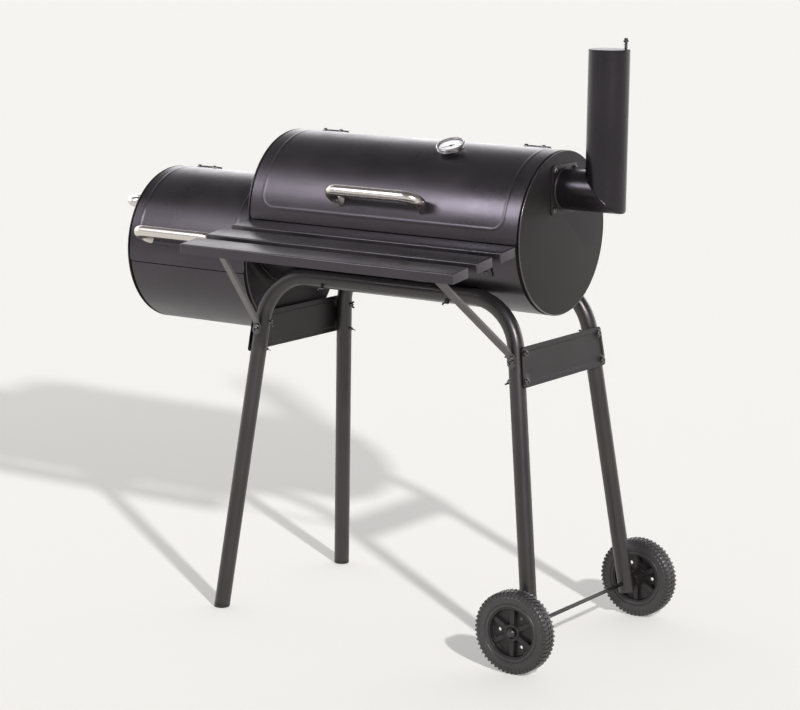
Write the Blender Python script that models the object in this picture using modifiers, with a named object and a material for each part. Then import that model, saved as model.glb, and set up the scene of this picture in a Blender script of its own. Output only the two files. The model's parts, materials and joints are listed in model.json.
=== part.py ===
"""Offset smoker: a barrel grill with a side firebox, on a tubular stand with two wheels.

Metres, +Z up, +X towards the chimney, -Y towards the front shelf. The origin is on the
floor, under the middle of the whole object. Angles called theta are measured about a
barrel's axis in degrees, from the front horizontal upwards and over to the back.
"""
import bpy
import bmesh
from math import acos, asin, atan2, ceil, cos, degrees, hypot, pi, radians, sin, sqrt, tan
from mathutils import Matrix, Vector

# Clearance between pieces that touch.
GAP = 0.0003

# Barrels.
BARREL_R = 0.150
SHEET = 0.0012
MAIN_LEN = 0.597
FIREBOX_LEN = 0.291
BARREL_GAP = 0.0035
AXIS_Z = 0.7565
FIREBOX_DROP = 0.092
ARC_STEP = 6.0
LID_BACK = 108.5
BODY_BACK = 110.0
MAIN_LID_FRONT = -2.5
FIREBOX_LID_FRONT = -8.5
FLANGE_DEPTH = 0.014
FLANGE_CLEARANCE = 0.0008
DOORWAY_R = 0.058
DOORWAY_Z = 0.715

# Stand.
TUBE_R = 0.015
TUBE_WALL = 0.0012
TUBE_SIDES_RES = 4
FOOT_Y = 0.200
LEFT_Y_LEAN = 0.119
RIGHT_Y_LEAN = 0.092
LEFT_LEAN = 0.086
RIGHT_LEAN = 0.139
LEFT_FOOT_X = -0.6206
RIGHT_FOOT_X = 0.0646
RAIL_Z = 0.6451
BEND_R = 0.098
RIGHT_LEG_END_Z = 0.058
LEFT_LEG_END_Z = 0.008
CROSS_PLATE = 0.0015

# Wheels.
WHEEL_R = 0.075
WHEEL_W = 0.030
WHEEL_OUTER_Y = 0.2420
TYRE_BORE = 0.0475
AXLE_R = 0.004
RUNNING = 0.00009

# Chimney.
PIPE_R = 0.0369
PIPE_WALL = 0.0015
CHIMNEY_OUT = 0.0869
CHIMNEY_UP = 0.0809
CHIMNEY_TOP = 1.0895
PIVOT_R = 0.0295
PIVOT_ANGLE = 15.0

# Shelf.
SHELF_LEN = 0.590
SHELF_INNER_Y = -0.155
SHELF_INNER_Z = 0.7490
SHELF_TILT = 6.9
SLAT_W = 0.052
SLAT_PITCH = 0.0775
SLAT_H = 0.0183
LEFT_BRACKET_X = -0.2415
RIGHT_BRACKET_X = 0.2241
BRACKET_W = 0.025
STRUT_W = 0.018

# Hinges and handles.
HINGE_THETA = 111.0
HINGE_OUT = 0.0047
PIN_R = 0.0016
KNUCKLE_R = 0.0037
LEAF_W = 0.048
HANDLE_FOOT = 0.091
HANDLE_REACH = 0.110
HANDLE_OUT = 0.044
HANDLE_R = 0.0105
HANDLE_BEND = 0.026
HANDLE_TILT = 3.1
MAIN_HANDLE_THETA = 16.9
FIREBOX_HANDLE_THETA = 10.6

# Thermometer on the main lid.
DIAL_X = -0.203
DIAL_THETA = 68.0
DIAL_R = 0.0272

# The whole object is centred on the origin, so its far ends give the barrels their place.
LEFT_EXTENT = -(MAIN_LEN + BARREL_GAP + FIREBOX_LEN + HANDLE_OUT + HANDLE_R)
AXLE_X = RIGHT_FOOT_X - RIGHT_LEAN * WHEEL_R
RIGHT_EXTENT = AXLE_X + WHEEL_R
MAIN_RIGHT = -(LEFT_EXTENT + RIGHT_EXTENT) / 2
SHELF_DEPTH = 2 * SLAT_PITCH + SLAT_W
AXLE_END_Y = WHEEL_OUTER_Y + 0.004
FRONT_EXTENT = SHELF_INNER_Y - SHELF_DEPTH * cos(radians(SHELF_TILT))
AXIS_Y = -(FRONT_EXTENT + AXLE_END_Y) / 2

MAIN_LEFT = MAIN_RIGHT - MAIN_LEN
MAIN_MID = MAIN_RIGHT - MAIN_LEN / 2
FIREBOX_RIGHT = MAIN_LEFT - BARREL_GAP
FIREBOX_LEFT = FIREBOX_RIGHT - FIREBOX_LEN
FIREBOX_MID = FIREBOX_RIGHT - FIREBOX_LEN / 2
FIREBOX_Z = AXIS_Z - FIREBOX_DROP

# Colour, roughness and metallic value of each finish.
FINISHES = {
    "powder": ((0.036, 0.034, 0.037), 0.46, 0.0),
    "enamel": ((0.030, 0.030, 0.032), 0.35, 0.0),
    "steel": ((0.60, 0.60, 0.60), 0.22, 1.0),
    "zinc": ((0.20, 0.20, 0.20), 0.38, 1.0),
    "plastic": ((0.022, 0.022, 0.024), 0.5, 0.0),
    "rubber": ((0.020, 0.020, 0.021), 0.7, 0.0),
    "dial": ((0.80, 0.80, 0.78), 0.45, 0.0),
    "red": ((0.55, 0.03, 0.02), 0.4, 0.0),
    "glass": ((0.95, 0.97, 0.97), 0.03, 0.0),
}

PARTS = None
CUTTERS = None


# ---------------------------------------------------------------- scene helpers
def clear_scene():
    for obj in list(bpy.data.objects):
        bpy.data.objects.remove(obj, do_unlink=True)


def new_collection(name):
    group = bpy.data.collections.new(name)
    bpy.context.scene.collection.children.link(group)
    return group


def finish_material(node, finish):
    colour, roughness, metallic = FINISHES[finish]
    mat = bpy.data.materials.new(node + "_" + finish)
    mat.use_nodes = True
    shader = mat.node_tree.nodes["Principled BSDF"]
    shader.inputs["Base Color"].default_value = (*colour, 1.0)
    shader.inputs["Roughness"].default_value = roughness
    shader.inputs["Metallic"].default_value = metallic
    if finish == "glass":
        shader.inputs["Transmission Weight"].default_value = 1.0
    return mat


def add_part(obj, name, finish):
    """Name the object and give it its own finish."""
    obj.name = name
    obj.data.name = name
    if obj.type == "MESH":
        obj.data.shade_smooth()
        obj.data.set_sharp_from_angle(angle=radians(30))
    obj.data.materials.clear()
    obj.data.materials.append(finish_material(name, finish))
    for group in list(obj.users_collection):
        group.objects.unlink(obj)
    PARTS.objects.link(obj)
    return obj


def add_cutter(obj, name):
    obj.name = name
    obj.hide_render = True
    obj.display_type = "WIRE"
    for group in list(obj.users_collection):
        group.objects.unlink(obj)
    CUTTERS.objects.link(obj)
    return obj


def object_from_bmesh(bm, name):
    mesh = bpy.data.meshes.new(name)
    bm.normal_update()
    bm.to_mesh(mesh)
    bm.free()
    obj = bpy.data.objects.new(name, mesh)
    bpy.context.scene.collection.objects.link(obj)
    return obj


def boolean(obj, tool, operation="DIFFERENCE"):
    mod = obj.modifiers.new(operation.lower(), "BOOLEAN")
    mod.operation = operation
    mod.solver = "EXACT"
    mod.object = tool


def curve_to_mesh(obj):
    """A mesh copy of a curve object, with its caps welded on."""
    graph = bpy.context.evaluated_depsgraph_get()
    mesh = bpy.data.meshes.new_from_object(obj.evaluated_get(graph))
    bm = bmesh.new()
    bm.from_mesh(mesh)
    bmesh.ops.remove_doubles(bm, verts=bm.verts, dist=0.00002)
    bmesh.ops.recalc_face_normals(bm, faces=bm.faces)
    bm.to_mesh(mesh)
    bm.free()
    copy = bpy.data.objects.new(obj.name, mesh)
    copy.matrix_world = obj.matrix_world
    bpy.context.scene.collection.objects.link(copy)
    bpy.data.objects.remove(obj, do_unlink=True)
    return copy


# ---------------------------------------------------------------- shape helpers
def frame_at(origin, z_axis, x_hint=(1, 0, 0)):
    """A matrix whose Z is z_axis and whose X is as near x_hint as it can be."""
    z = Vector(z_axis).normalized()
    x = Vector(x_hint)
    x = (x - z * x.dot(z)).normalized()
    y = z.cross(x)
    rotation = Matrix((x, y, z)).transposed().to_4x4()
    return Matrix.Translation(Vector(origin)) @ rotation


def radial_point(x, theta, radius, axis_z=AXIS_Z):
    a = radians(theta)
    return Vector((x, AXIS_Y - radius * cos(a), axis_z + radius * sin(a)))


def radial_dir(theta):
    a = radians(theta)
    return Vector((0, -cos(a), sin(a)))


def box(size, centre, matrix=None):
    bm = bmesh.new()
    bmesh.ops.create_cube(bm, size=1.0)
    bmesh.ops.scale(bm, verts=bm.verts, vec=size)
    bmesh.ops.translate(bm, verts=bm.verts, vec=centre)
    obj = object_from_bmesh(bm, "box")
    if matrix is not None:
        obj.matrix_world = matrix
    return obj


def cylinder(start, end, radius, sides=24):
    start, end = Vector(start), Vector(end)
    bm = bmesh.new()
    bmesh.ops.create_cone(bm, cap_ends=True, segments=sides, radius1=radius, radius2=radius,
                          depth=(end - start).length)
    obj = object_from_bmesh(bm, "cylinder")
    obj.matrix_world = frame_at((start + end) / 2, end - start, (0.31, 0.77, 0.56))
    return obj


def turned(profile, matrix, steps=32, closed=False):
    """A profile of (radius, height) points, top to bottom on the outside, turned about Z."""
    bm = bmesh.new()
    verts = [bm.verts.new((r, 0, h)) for r, h in profile]
    pairs = list(zip(verts, verts[1:]))
    if closed:
        pairs.append((verts[-1], verts[0]))
    for pair in pairs:
        bm.edges.new(pair)
    obj = object_from_bmesh(bm, "turned")
    mod = obj.modifiers.new("screw", "SCREW")
    mod.steps = steps
    mod.render_steps = steps
    mod.use_merge_vertices = True
    mod.merge_threshold = 0.00001
    obj.matrix_world = matrix
    return obj


def tube(points, radius, res=2, caps=True, wall=0.0):
    """A round bar or, with a wall, an open hollow tube along the points."""
    curve = bpy.data.curves.new("tube", "CURVE")
    curve.dimensions = "3D"
    curve.bevel_depth = radius
    curve.bevel_resolution = res
    curve.use_fill_caps = caps
    spline = curve.splines.new("POLY")
    spline.points.add(len(points) - 1)
    for target, point in zip(spline.points, points):
        target.co = (*point, 1.0)
    obj = bpy.data.objects.new("tube", curve)
    bpy.context.scene.collection.objects.link(obj)
    obj = curve_to_mesh(obj)
    if wall:
        mod = obj.modifiers.new("wall", "SOLIDIFY")
        mod.thickness = wall
        mod.offset = -1.0
        mod.use_even_offset = True
    return obj


def sheet(outline, thickness, matrix, holes=()):
    """A flat plate: an outline in the matrix's XY plane, centred on it in thickness."""
    curve = bpy.data.curves.new("sheet", "CURVE")
    curve.dimensions = "2D"
    curve.fill_mode = "BOTH"
    curve.extrude = thickness / 2
    for loop in (outline, *holes):
        spline = curve.splines.new("POLY")
        spline.points.add(len(loop) - 1)
        for target, point in zip(spline.points, loop):
            target.co = (point[0], point[1], 0.0, 1.0)
        spline.use_cyclic_u = True
    obj = bpy.data.objects.new("sheet", curve)
    obj.matrix_world = matrix
    bpy.context.scene.collection.objects.link(obj)
    return curve_to_mesh(obj)


def arc_points(centre, radius, start, end, count):
    """Points on a circle in a plane, from one angle to another in degrees."""
    cx, cy = centre
    angles = [radians(start + (end - start) * i / (count - 1)) for i in range(count)]
    return [(cx + radius * cos(a), cy + radius * sin(a)) for a in angles]


def circle_points(centre, radius, count=20):
    return arc_points(centre, radius, 0, 360 * (count - 1) / count, count)


def rounded_rectangle(width, height, corner, count=4):
    x, y = width / 2 - corner, height / 2 - corner
    quarters = ((x, y, 0), (-x, y, 90), (-x, -y, 180), (x, -y, 270))
    points = []
    for cx, cy, start in quarters:
        points += arc_points((cx, cy), corner, start, start + 90, count)
    return points


def strip_outline(points, thickness):
    """The outline of a bent strip whose middle line runs through the points."""
    sides = ([], [])
    for i, point in enumerate(points):
        here = Vector(point)
        before = (here - Vector(points[i - 1])).normalized() if i else None
        after = (Vector(points[i + 1]) - here).normalized() if i < len(points) - 1 else None
        along = ((before or after) + (after or before)).normalized()
        normal = Vector((-along.y, along.x))
        reach = thickness / 2
        if before and after:
            reach /= max(along.dot(after), 0.2)
        sides[0].append(here + normal * reach)
        sides[1].append(here - normal * reach)
    return [tuple(p) for p in sides[0] + sides[1][::-1]]


def fillet(start, corner, end, radius, count=8):
    """Points of the arc that rounds a corner between two straight runs."""
    start, corner, end = Vector(start), Vector(corner), Vector(end)
    u = (start - corner).normalized()
    w = (end - corner).normalized()
    half = u.angle(w) / 2
    centre = corner + (u + w).normalized() * (radius / sin(half))
    first = corner + u * (radius / tan(half)) - centre
    last = corner + w * (radius / tan(half)) - centre
    sweep = first.angle(last)
    points = []
    for i in range(count):
        t = i / (count - 1)
        mix = first * sin(sweep * (1 - t)) + last * sin(sweep * t)
        points.append(centre + mix / sin(sweep))
    return points


# ---------------------------------------------------------------- barrels
def arc_shell(name, x0, x1, axis_z, theta0, theta1):
    """A piece of rolled sheet between two angles."""
    count = max(2, ceil((theta1 - theta0) / ARC_STEP) + 1)
    bm = bmesh.new()
    verts = []
    for i in range(count):
        theta = theta0 + (theta1 - theta0) * i / (count - 1)
        verts.append(bm.verts.new(radial_point(x0, theta, BARREL_R, axis_z)))
    edges = [bm.edges.new(pair) for pair in zip(verts, verts[1:])]
    swept = bmesh.ops.extrude_edge_only(bm, edges=edges)["geom"]
    moved = [item for item in swept if isinstance(item, bmesh.types.BMVert)]
    bmesh.ops.translate(bm, verts=moved, vec=(x1 - x0, 0, 0))
    bmesh.ops.recalc_face_normals(bm, faces=bm.faces)
    bm.faces.ensure_lookup_table()
    face = bm.faces[0]
    bm.normal_update()
    outward = face.calc_center_median() - Vector((0, AXIS_Y, axis_z))
    outward.x = 0
    if face.normal.dot(outward) < 0:
        bmesh.ops.reverse_faces(bm, faces=bm.faces)
    obj = object_from_bmesh(bm, name)
    mod = obj.modifiers.new("sheet", "SOLIDIFY")
    mod.thickness = SHEET
    mod.offset = -1.0
    mod.use_even_offset = True
    return obj


def end_plate(x, axis_z, outward):
    """A pressed disc whose flange turns inwards, under the barrel's sheet."""
    lip = 0.003
    flange = BARREL_R - SHEET - FLANGE_CLEARANCE
    profile = [(0, 0), (BARREL_R, 0), (BARREL_R, -lip), (flange, -lip), (flange, -FLANGE_DEPTH),
               (flange - SHEET, -FLANGE_DEPTH), (flange - SHEET, -SHEET), (0, -SHEET)]
    matrix = frame_at((x, AXIS_Y, axis_z), (outward, 0, 0), (0, 0, 1))
    return turned(profile, matrix, steps=60)


def doorway_cutter():
    """The round way for smoke from the firebox into the main barrel."""
    tool = cylinder((MAIN_LEFT - 0.03, AXIS_Y, DOORWAY_Z), (MAIN_LEFT + 0.03, AXIS_Y, DOORWAY_Z),
                    DOORWAY_R, 32)
    return add_cutter(tool, "doorway_cutter")


def build_barrels():
    inset = 0.0035
    doorway = doorway_cutter()
    body = arc_shell("main_barrel_shell", MAIN_LEFT + inset, MAIN_RIGHT - inset, AXIS_Z,
                     BODY_BACK, 360 + MAIN_LID_FRONT - 0.6)
    add_part(body, "main_barrel_shell", "powder")
    body = arc_shell("firebox_shell", FIREBOX_LEFT + inset, FIREBOX_RIGHT - inset, FIREBOX_Z,
                     BODY_BACK, 360 + FIREBOX_LID_FRONT - 0.6)
    add_part(body, "firebox_shell", "powder")

    right = end_plate(MAIN_RIGHT, AXIS_Z, 1)
    smoke_z = AXIS_Z + CHIMNEY_UP
    outlet = cylinder((MAIN_RIGHT - 0.01, AXIS_Y, smoke_z), (MAIN_RIGHT + 0.01, AXIS_Y, smoke_z),
                      PIPE_R - 0.002, 32)
    boolean(right, add_cutter(outlet, "smoke_outlet_cutter"))
    add_part(right, "main_end_plate_right", "powder")

    for name, x, axis_z, outward in (("main_end_plate_left", MAIN_LEFT, AXIS_Z, -1),
                                     ("firebox_end_plate_right", FIREBOX_RIGHT, FIREBOX_Z, 1)):
        plate = end_plate(x, axis_z, outward)
        boolean(plate, doorway)
        add_part(plate, name, "powder")

    left = end_plate(FIREBOX_LEFT, FIREBOX_Z, -1)
    cut_vent_holes(left)
    add_part(left, "firebox_end_plate_left", "powder")


# ---------------------------------------------------------------- air vent
VENT_Z = FIREBOX_Z - 0.048
VENT_R = 0.046
VENT_HOLE_R = 0.0105
VENT_RING_R = 0.028
VENT_STUD_R = 0.004


def vent_hole_centres(turn):
    """Three holes on a ring, as (y, z) places on the end plate."""
    spots = []
    for i in range(3):
        a = radians(90 + 120 * i + turn)
        spots.append((AXIS_Y + VENT_RING_R * cos(a), VENT_Z + VENT_RING_R * sin(a)))
    return spots


def cut_vent_holes(plate):
    x = FIREBOX_LEFT
    for i, (y, z) in enumerate(vent_hole_centres(0)):
        tool = cylinder((x - 0.01, y, z), (x + 0.008, y, z), VENT_HOLE_R, 20)
        boolean(plate, add_cutter(tool, f"vent_hole_cutter_{i}"))
    stud = cylinder((x - 0.01, AXIS_Y, VENT_Z), (x + 0.008, AXIS_Y, VENT_Z),
                    VENT_STUD_R + RUNNING, 24)
    boolean(plate, add_cutter(stud, "vent_stud_cutter"))


def build_vent_shutter():
    """A turning disc with three holes; its stud goes through the end plate."""
    plate = 0.0015
    matrix = frame_at((FIREBOX_LEFT, AXIS_Y, VENT_Z), (-1, 0, 0), (0, 0, 1))
    profile = [(0, 0.0055), (0.007, 0.0055), (0.007, GAP + plate), (VENT_R, GAP + plate),
               (VENT_R, GAP), (VENT_STUD_R, GAP), (VENT_STUD_R, -SHEET - GAP),
               (0.007, -SHEET - GAP), (0.007, -SHEET - GAP - plate), (0, -SHEET - GAP - plate)]
    shutter = turned(profile, matrix, steps=24)
    x = FIREBOX_LEFT
    for i, (y, z) in enumerate(vent_hole_centres(60)):
        tool = cylinder((x - 0.01, y, z), (x + 0.01, y, z), VENT_HOLE_R, 20)
        boolean(shutter, add_cutter(tool, f"shutter_hole_cutter_{i}"))
    grip = box((0.012, 0.0015, 0.020), (0, 0, 0),
               Matrix.Translation((x - GAP - 0.0070, AXIS_Y, VENT_Z - 0.036)))
    boolean(shutter, add_cutter(grip, "shutter_grip_tool"), "UNION")
    add_part(shutter, "air_vent_shutter", "powder")


# ---------------------------------------------------------------- lids and hinges
def build_lid(name, x0, x1, axis_z, front):
    inset = 0.0045
    lid = arc_shell(name, x0 + inset, x1 - inset, axis_z, front, LID_BACK)
    return lid


def hinge_matrix(x, axis_z):
    """X along the pin, Z out of the barrel, Y down its back."""
    origin = radial_point(x, HINGE_THETA, BARREL_R + HINGE_OUT, axis_z)
    return frame_at(origin, radial_dir(HINGE_THETA), (-1, 0, 0))


def leaf(name, matrix, side, knuckles):
    """A hinge leaf: a plate against the sheet, and its knuckles rolled round the pin."""
    reach, thick = 0.0225, 0.0012
    near = 0.0010
    along = (near + reach) / 2
    tilt = along / BARREL_R
    drop = HINGE_OUT - 0.0011
    plate = box((LEAF_W, reach - near, thick), (0, 0, 0),
                matrix @ Matrix.Translation((0, side * along, -drop - along * tilt / 2))
                @ Matrix.Rotation(-side * tilt, 4, "X"))
    for i, (start, end) in enumerate(knuckles):
        barrel = cylinder(matrix @ Vector((start, 0, 0)), matrix @ Vector((end, 0, 0)),
                          KNUCKLE_R, 16)
        boolean(plate, add_cutter(barrel, f"{name}_knuckle_{i}"), "UNION")
    for i, (start, end) in enumerate(gaps_between(knuckles)):
        room = box((end - start, 0.0120, 0.0200), ((start + end) / 2, 0, 0), matrix)
        boolean(plate, add_cutter(room, f"{name}_room_{i}"))
    bore = cylinder(matrix @ Vector((-LEAF_W, 0, 0)), matrix @ Vector((LEAF_W, 0, 0)),
                    PIN_R + RUNNING, 16)
    boolean(plate, add_cutter(bore, name + "_bore"))
    return plate


def gaps_between(knuckles):
    """The stretches of a leaf's width where the other leaf's knuckles turn."""
    edge = LEAF_W / 2 + 0.001
    marks = [-edge] + [value for pair in knuckles for value in pair] + [edge]
    spans = [(marks[i], marks[i + 1]) for i in range(0, len(marks), 2)]
    return [span for span in spans if span[1] - span[0] > 0.0015]


def build_hinge(prefix, x, axis_z):
    matrix = hinge_matrix(x, axis_z)
    middle, outer = 0.0080, LEAF_W / 2
    upper = leaf(prefix + "_leaf_upper", matrix, 1, [(-middle, middle)])
    add_part(upper, prefix + "_leaf_upper", "zinc")
    lower = leaf(prefix + "_leaf_lower", matrix, -1,
                 [(-outer, -middle - 0.0005), (middle + 0.0005, outer)])
    add_part(lower, prefix + "_leaf_lower", "zinc")
    half = outer + 0.0012
    profile = [(0, half), (PIN_R + 0.0012, half), (PIN_R + 0.0012, outer + GAP),
               (PIN_R, outer + GAP), (PIN_R, -half), (0, -half)]
    axis = frame_at(matrix.translation, (1, 0, 0), (0, 0, 1))
    add_part(turned(profile, axis, steps=16), prefix + "_pin", "zinc")


def handle_bar(feet, tops):
    """A bent tube from one foot, out to a straight bar, and back to the other foot."""
    path = [feet[0] + (feet[0] - tops[0]) * 0.3]
    path += fillet(feet[0], tops[0], tops[1], HANDLE_BEND, 7)
    path += fillet(tops[0], tops[1], feet[1], HANDLE_BEND, 7)
    path.append(feet[1] + (feet[1] - tops[1]) * 0.3)
    return tube(path, HANDLE_R, res=3, caps=False, wall=TUBE_WALL)


def lid_handle(name, x, theta, axis_z):
    """A handle whose ends are cut to the lid's curve and whose bar sits a little above them."""
    feet = [radial_point(x + s * HANDLE_FOOT, theta, BARREL_R, axis_z) for s in (-1, 1)]
    tops = [radial_point(x + s * HANDLE_REACH, theta + HANDLE_TILT, BARREL_R + HANDLE_OUT, axis_z)
            for s in (-1, 1)]
    bar = handle_bar(feet, tops)
    lid = cylinder((x - 0.16, AXIS_Y, axis_z), (x + 0.16, AXIS_Y, axis_z), BARREL_R + GAP, 120)
    boolean(bar, add_cutter(lid, name + "_seat_cutter"))
    return add_part(bar, name, "steel")


def build_lids():
    lid = build_lid("main_lid", MAIN_LEFT, MAIN_RIGHT, AXIS_Z, MAIN_LID_FRONT)
    stem = cylinder(dial_point(BARREL_R - 0.02), dial_point(BARREL_R + 0.02), 0.0042, 20)
    boolean(lid, add_cutter(stem, "thermometer_stem_cutter"))
    add_part(lid, "main_lid_shell", "powder")
    lid = build_lid("firebox_lid", FIREBOX_LEFT, FIREBOX_RIGHT, FIREBOX_Z, FIREBOX_LID_FRONT)
    add_part(lid, "firebox_lid_shell", "powder")

    lid_handle("main_lid_handle", MAIN_MID, MAIN_HANDLE_THETA, AXIS_Z)
    lid_handle("firebox_lid_handle", FIREBOX_MID, FIREBOX_HANDLE_THETA, FIREBOX_Z)

    for side, offset in (("left", -0.238), ("right", 0.213)):
        build_hinge("main_hinge_" + side, MAIN_MID + offset, AXIS_Z)
    for side, offset in (("left", -0.098), ("right", 0.098)):
        build_hinge("firebox_hinge_" + side, FIREBOX_MID + offset, FIREBOX_Z)


# ---------------------------------------------------------------- thermometer
def dial_point(radius):
    return radial_point(MAIN_RIGHT + DIAL_X, DIAL_THETA, radius)


def build_thermometer():
    """A bimetal dial: a cup with its stem through the lid, dial plate, needle and glass."""
    base = BARREL_R + 0.0045
    rim = 0.0110
    matrix = frame_at(dial_point(base), radial_dir(DIAL_THETA), (1, 0, 0))
    wall = 0.0016
    profile = [(DIAL_R - 0.0032, rim), (DIAL_R, rim - 0.0016), (DIAL_R, rim - 0.0050),
               (DIAL_R - 0.0016, 0.0012), (DIAL_R - 0.0030, 0), (0.0062, 0), (0.0062, -0.0040),
               (0.0038, -0.0040), (0.0038, -0.0100), (0.0020, -0.0100), (0.0020, -0.0620),
               (0, -0.0620)]
    inside = [(0, wall), (DIAL_R - 0.0032, wall)]
    case = turned(inside + profile, matrix, steps=28)
    add_part(case, "thermometer_case", "steel")

    inner = DIAL_R - 0.0035
    plate = [(0, wall + 0.0020), (inner, wall + 0.0020), (inner, wall + GAP), (0, wall + GAP)]
    add_part(turned(plate, matrix, steps=28), "thermometer_dial", "dial")
    glass = [(0, rim - 0.0008), (inner, rim - 0.0008), (inner, rim - 0.0026), (0, rim - 0.0026)]
    add_part(turned(glass, matrix, steps=28), "thermometer_glass", "glass")

    level = wall + 0.0020 + GAP
    outline = circle_points((0, 0), 0.0030, 12)
    pointer = [(-0.0165, -0.0002), (-0.0165, 0.0002), (0.0060, 0.0010), (0.0060, -0.0010)]
    needle = sheet(outline, 0.0012, matrix @ Matrix.Translation((0, 0, level + 0.0006)))
    lie = matrix @ Matrix.Translation((0, 0, level + 0.0006)) @ Matrix.Rotation(radians(40), 4, "Z")
    arm = sheet(pointer, 0.0008, lie)
    boolean(needle, add_cutter(arm, "needle_arm_tool"), "UNION")
    add_part(needle, "thermometer_needle", "red")


# ---------------------------------------------------------------- chimney
def pivot_point(z):
    a = radians(PIVOT_ANGLE)
    return Vector((MAIN_RIGHT + CHIMNEY_OUT + PIVOT_R * cos(a), AXIS_Y + PIVOT_R * sin(a), z))


def build_pipe():
    """An elbow of two mitred tubes: level out of the barrel, then straight up."""
    sides = 32
    smoke_z = AXIS_Z + CHIMNEY_UP
    centre_x = MAIN_RIGHT + CHIMNEY_OUT
    bm = bmesh.new()
    rings = ([], [], [])
    for i in range(sides):
        a = 2 * pi * i / sides
        y, z = PIPE_R * cos(a), PIPE_R * sin(a)
        rings[0].append(bm.verts.new((MAIN_RIGHT + GAP, AXIS_Y + y, smoke_z + z)))
        rings[1].append(bm.verts.new((centre_x - z, AXIS_Y + y, smoke_z + z)))
        rings[2].append(bm.verts.new((centre_x - z, AXIS_Y + y, CHIMNEY_TOP)))
    for lower, upper in zip(rings, rings[1:]):
        for i in range(sides):
            j = (i + 1) % sides
            bm.faces.new((lower[i], lower[j], upper[j], upper[i]))
    bmesh.ops.recalc_face_normals(bm, faces=bm.faces)
    bm.faces.ensure_lookup_table()
    first = bm.faces[0]
    away = first.calc_center_median() - Vector((MAIN_RIGHT, AXIS_Y, smoke_z))
    away.x = 0
    bm.normal_update()
    if first.normal.dot(away) < 0:
        bmesh.ops.reverse_faces(bm, faces=bm.faces)
    pipe = object_from_bmesh(bm, "chimney_pipe")
    mod = pipe.modifiers.new("wall", "SOLIDIFY")
    mod.thickness = PIPE_WALL
    mod.offset = -1.0
    mod.use_even_offset = True
    add_part(pipe, "chimney_pipe", "powder")

    side = 0.090
    matrix = frame_at((MAIN_RIGHT + GAP + 0.001, AXIS_Y, smoke_z), (1, 0, 0), (0, 1, 0))
    hole = circle_points((0, 0), PIPE_R + 0.0006, sides)
    flange = sheet(rounded_rectangle(side, side, 0.009), 0.002, matrix, [hole])
    add_part(flange, "chimney_flange", "powder")


def build_damper():
    """A lid disc on the pipe's mouth, which swivels on a sprung screw near the rim."""
    screw_r, thick = 0.0020, 0.0012
    matrix = Matrix.Translation(pivot_point(CHIMNEY_TOP))
    disc_centre = Vector((MAIN_RIGHT + CHIMNEY_OUT, AXIS_Y, CHIMNEY_TOP + GAP + thick / 2))
    pivot = pivot_point(CHIMNEY_TOP) - disc_centre
    hole = circle_points((pivot.x, pivot.y), screw_r + RUNNING, 16)
    disc = sheet(circle_points((0, 0), PIPE_R + 0.0004, 32), thick,
                 Matrix.Translation(disc_centre), [hole])
    disc.data.transform(Matrix.Translation(disc_centre - matrix.translation))
    disc.matrix_world = matrix
    add_part(disc, "chimney_damper", "powder")

    strap = box((0.016, 0.014, 0.0015), (0, 0, 0), Matrix.Translation(pivot_point(CHIMNEY_TOP - 0.0020))
                @ Matrix.Rotation(radians(PIVOT_ANGLE), 4, "Z"))
    bounds = cylinder((disc_centre.x, AXIS_Y, CHIMNEY_TOP - 0.02),
                      (disc_centre.x, AXIS_Y, CHIMNEY_TOP + 0.02), PIPE_R - PIPE_WALL - 0.0006, 32)
    boolean(strap, add_cutter(bounds, "damper_strap_bounds"), "INTERSECT")
    screw = cylinder(pivot_point(CHIMNEY_TOP - 0.0024), pivot_point(CHIMNEY_TOP + 0.0200), screw_r, 16)
    boolean(strap, add_cutter(screw, "damper_screw_tool"), "UNION")
    add_part(strap, "damper_pivot", "zinc")

    turns, per_turn, coil_r, wire = 3, 12, 0.0032, 0.0005
    low = CHIMNEY_TOP + GAP + thick + wire + 0.0002
    rise = 0.0110
    centre = pivot_point(0)
    path = []
    for i in range(turns * per_turn + 1):
        a = 2 * pi * i / per_turn
        path.append((centre.x + coil_r * cos(a), centre.y + coil_r * sin(a),
                     low + rise * i / (turns * per_turn)))
    add_part(tube(path, wire, res=1), "damper_spring", "zinc")

    seat = low + rise + wire + 0.0002 - CHIMNEY_TOP
    bore = screw_r + 0.0003
    crown = seat + 0.0085
    profile = [(0, crown), (0.0022, crown - 0.0005), (0.0033, crown - 0.0022),
               (0.0030, crown - 0.0032), (0.0047, crown - 0.0048), (0.0047, crown - 0.0068),
               (0.0034, seat), (bore, seat), (bore, crown - 0.0022), (0, crown - 0.0022)]
    add_part(turned(profile, matrix, steps=20), "damper_nut", "zinc")


# ---------------------------------------------------------------- stand
def leg_point(side, front, z):
    """A point on a leg's middle line; side is -1 for left and 1 for right."""
    if side < 0:
        x = LEFT_FOOT_X + LEFT_LEAN * z
        lean = LEFT_Y_LEAN
    else:
        x = RIGHT_FOOT_X - RIGHT_LEAN * z
        lean = RIGHT_Y_LEAN
    y = FOOT_Y - LEFT_Y_LEAN * RAIL_Z + lean * (RAIL_Z - z)
    return Vector((MAIN_RIGHT + x, AXIS_Y + (-y if front else y), z))


def build_leg(name, side, front):
    """Half of a U frame: from the floor up, round the bend and in to the middle seam."""
    end_z = LEFT_LEG_END_Z if side < 0 else RIGHT_LEG_END_Z
    start = leg_point(side, front, end_z)
    corner = leg_point(side, front, RAIL_Z)
    seam = Vector((MAIN_MID + side * GAP / 2, corner.y, RAIL_Z))
    path = [start] + fillet(start, corner, seam, BEND_R, 9) + [seam]
    leg = tube(path, TUBE_R, res=TUBE_SIDES_RES, caps=False, wall=TUBE_WALL)
    if side > 0:
        boolean(leg, bpy.data.objects["axle_hole_cutter"])
    return add_part(leg, name, "powder")


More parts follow.
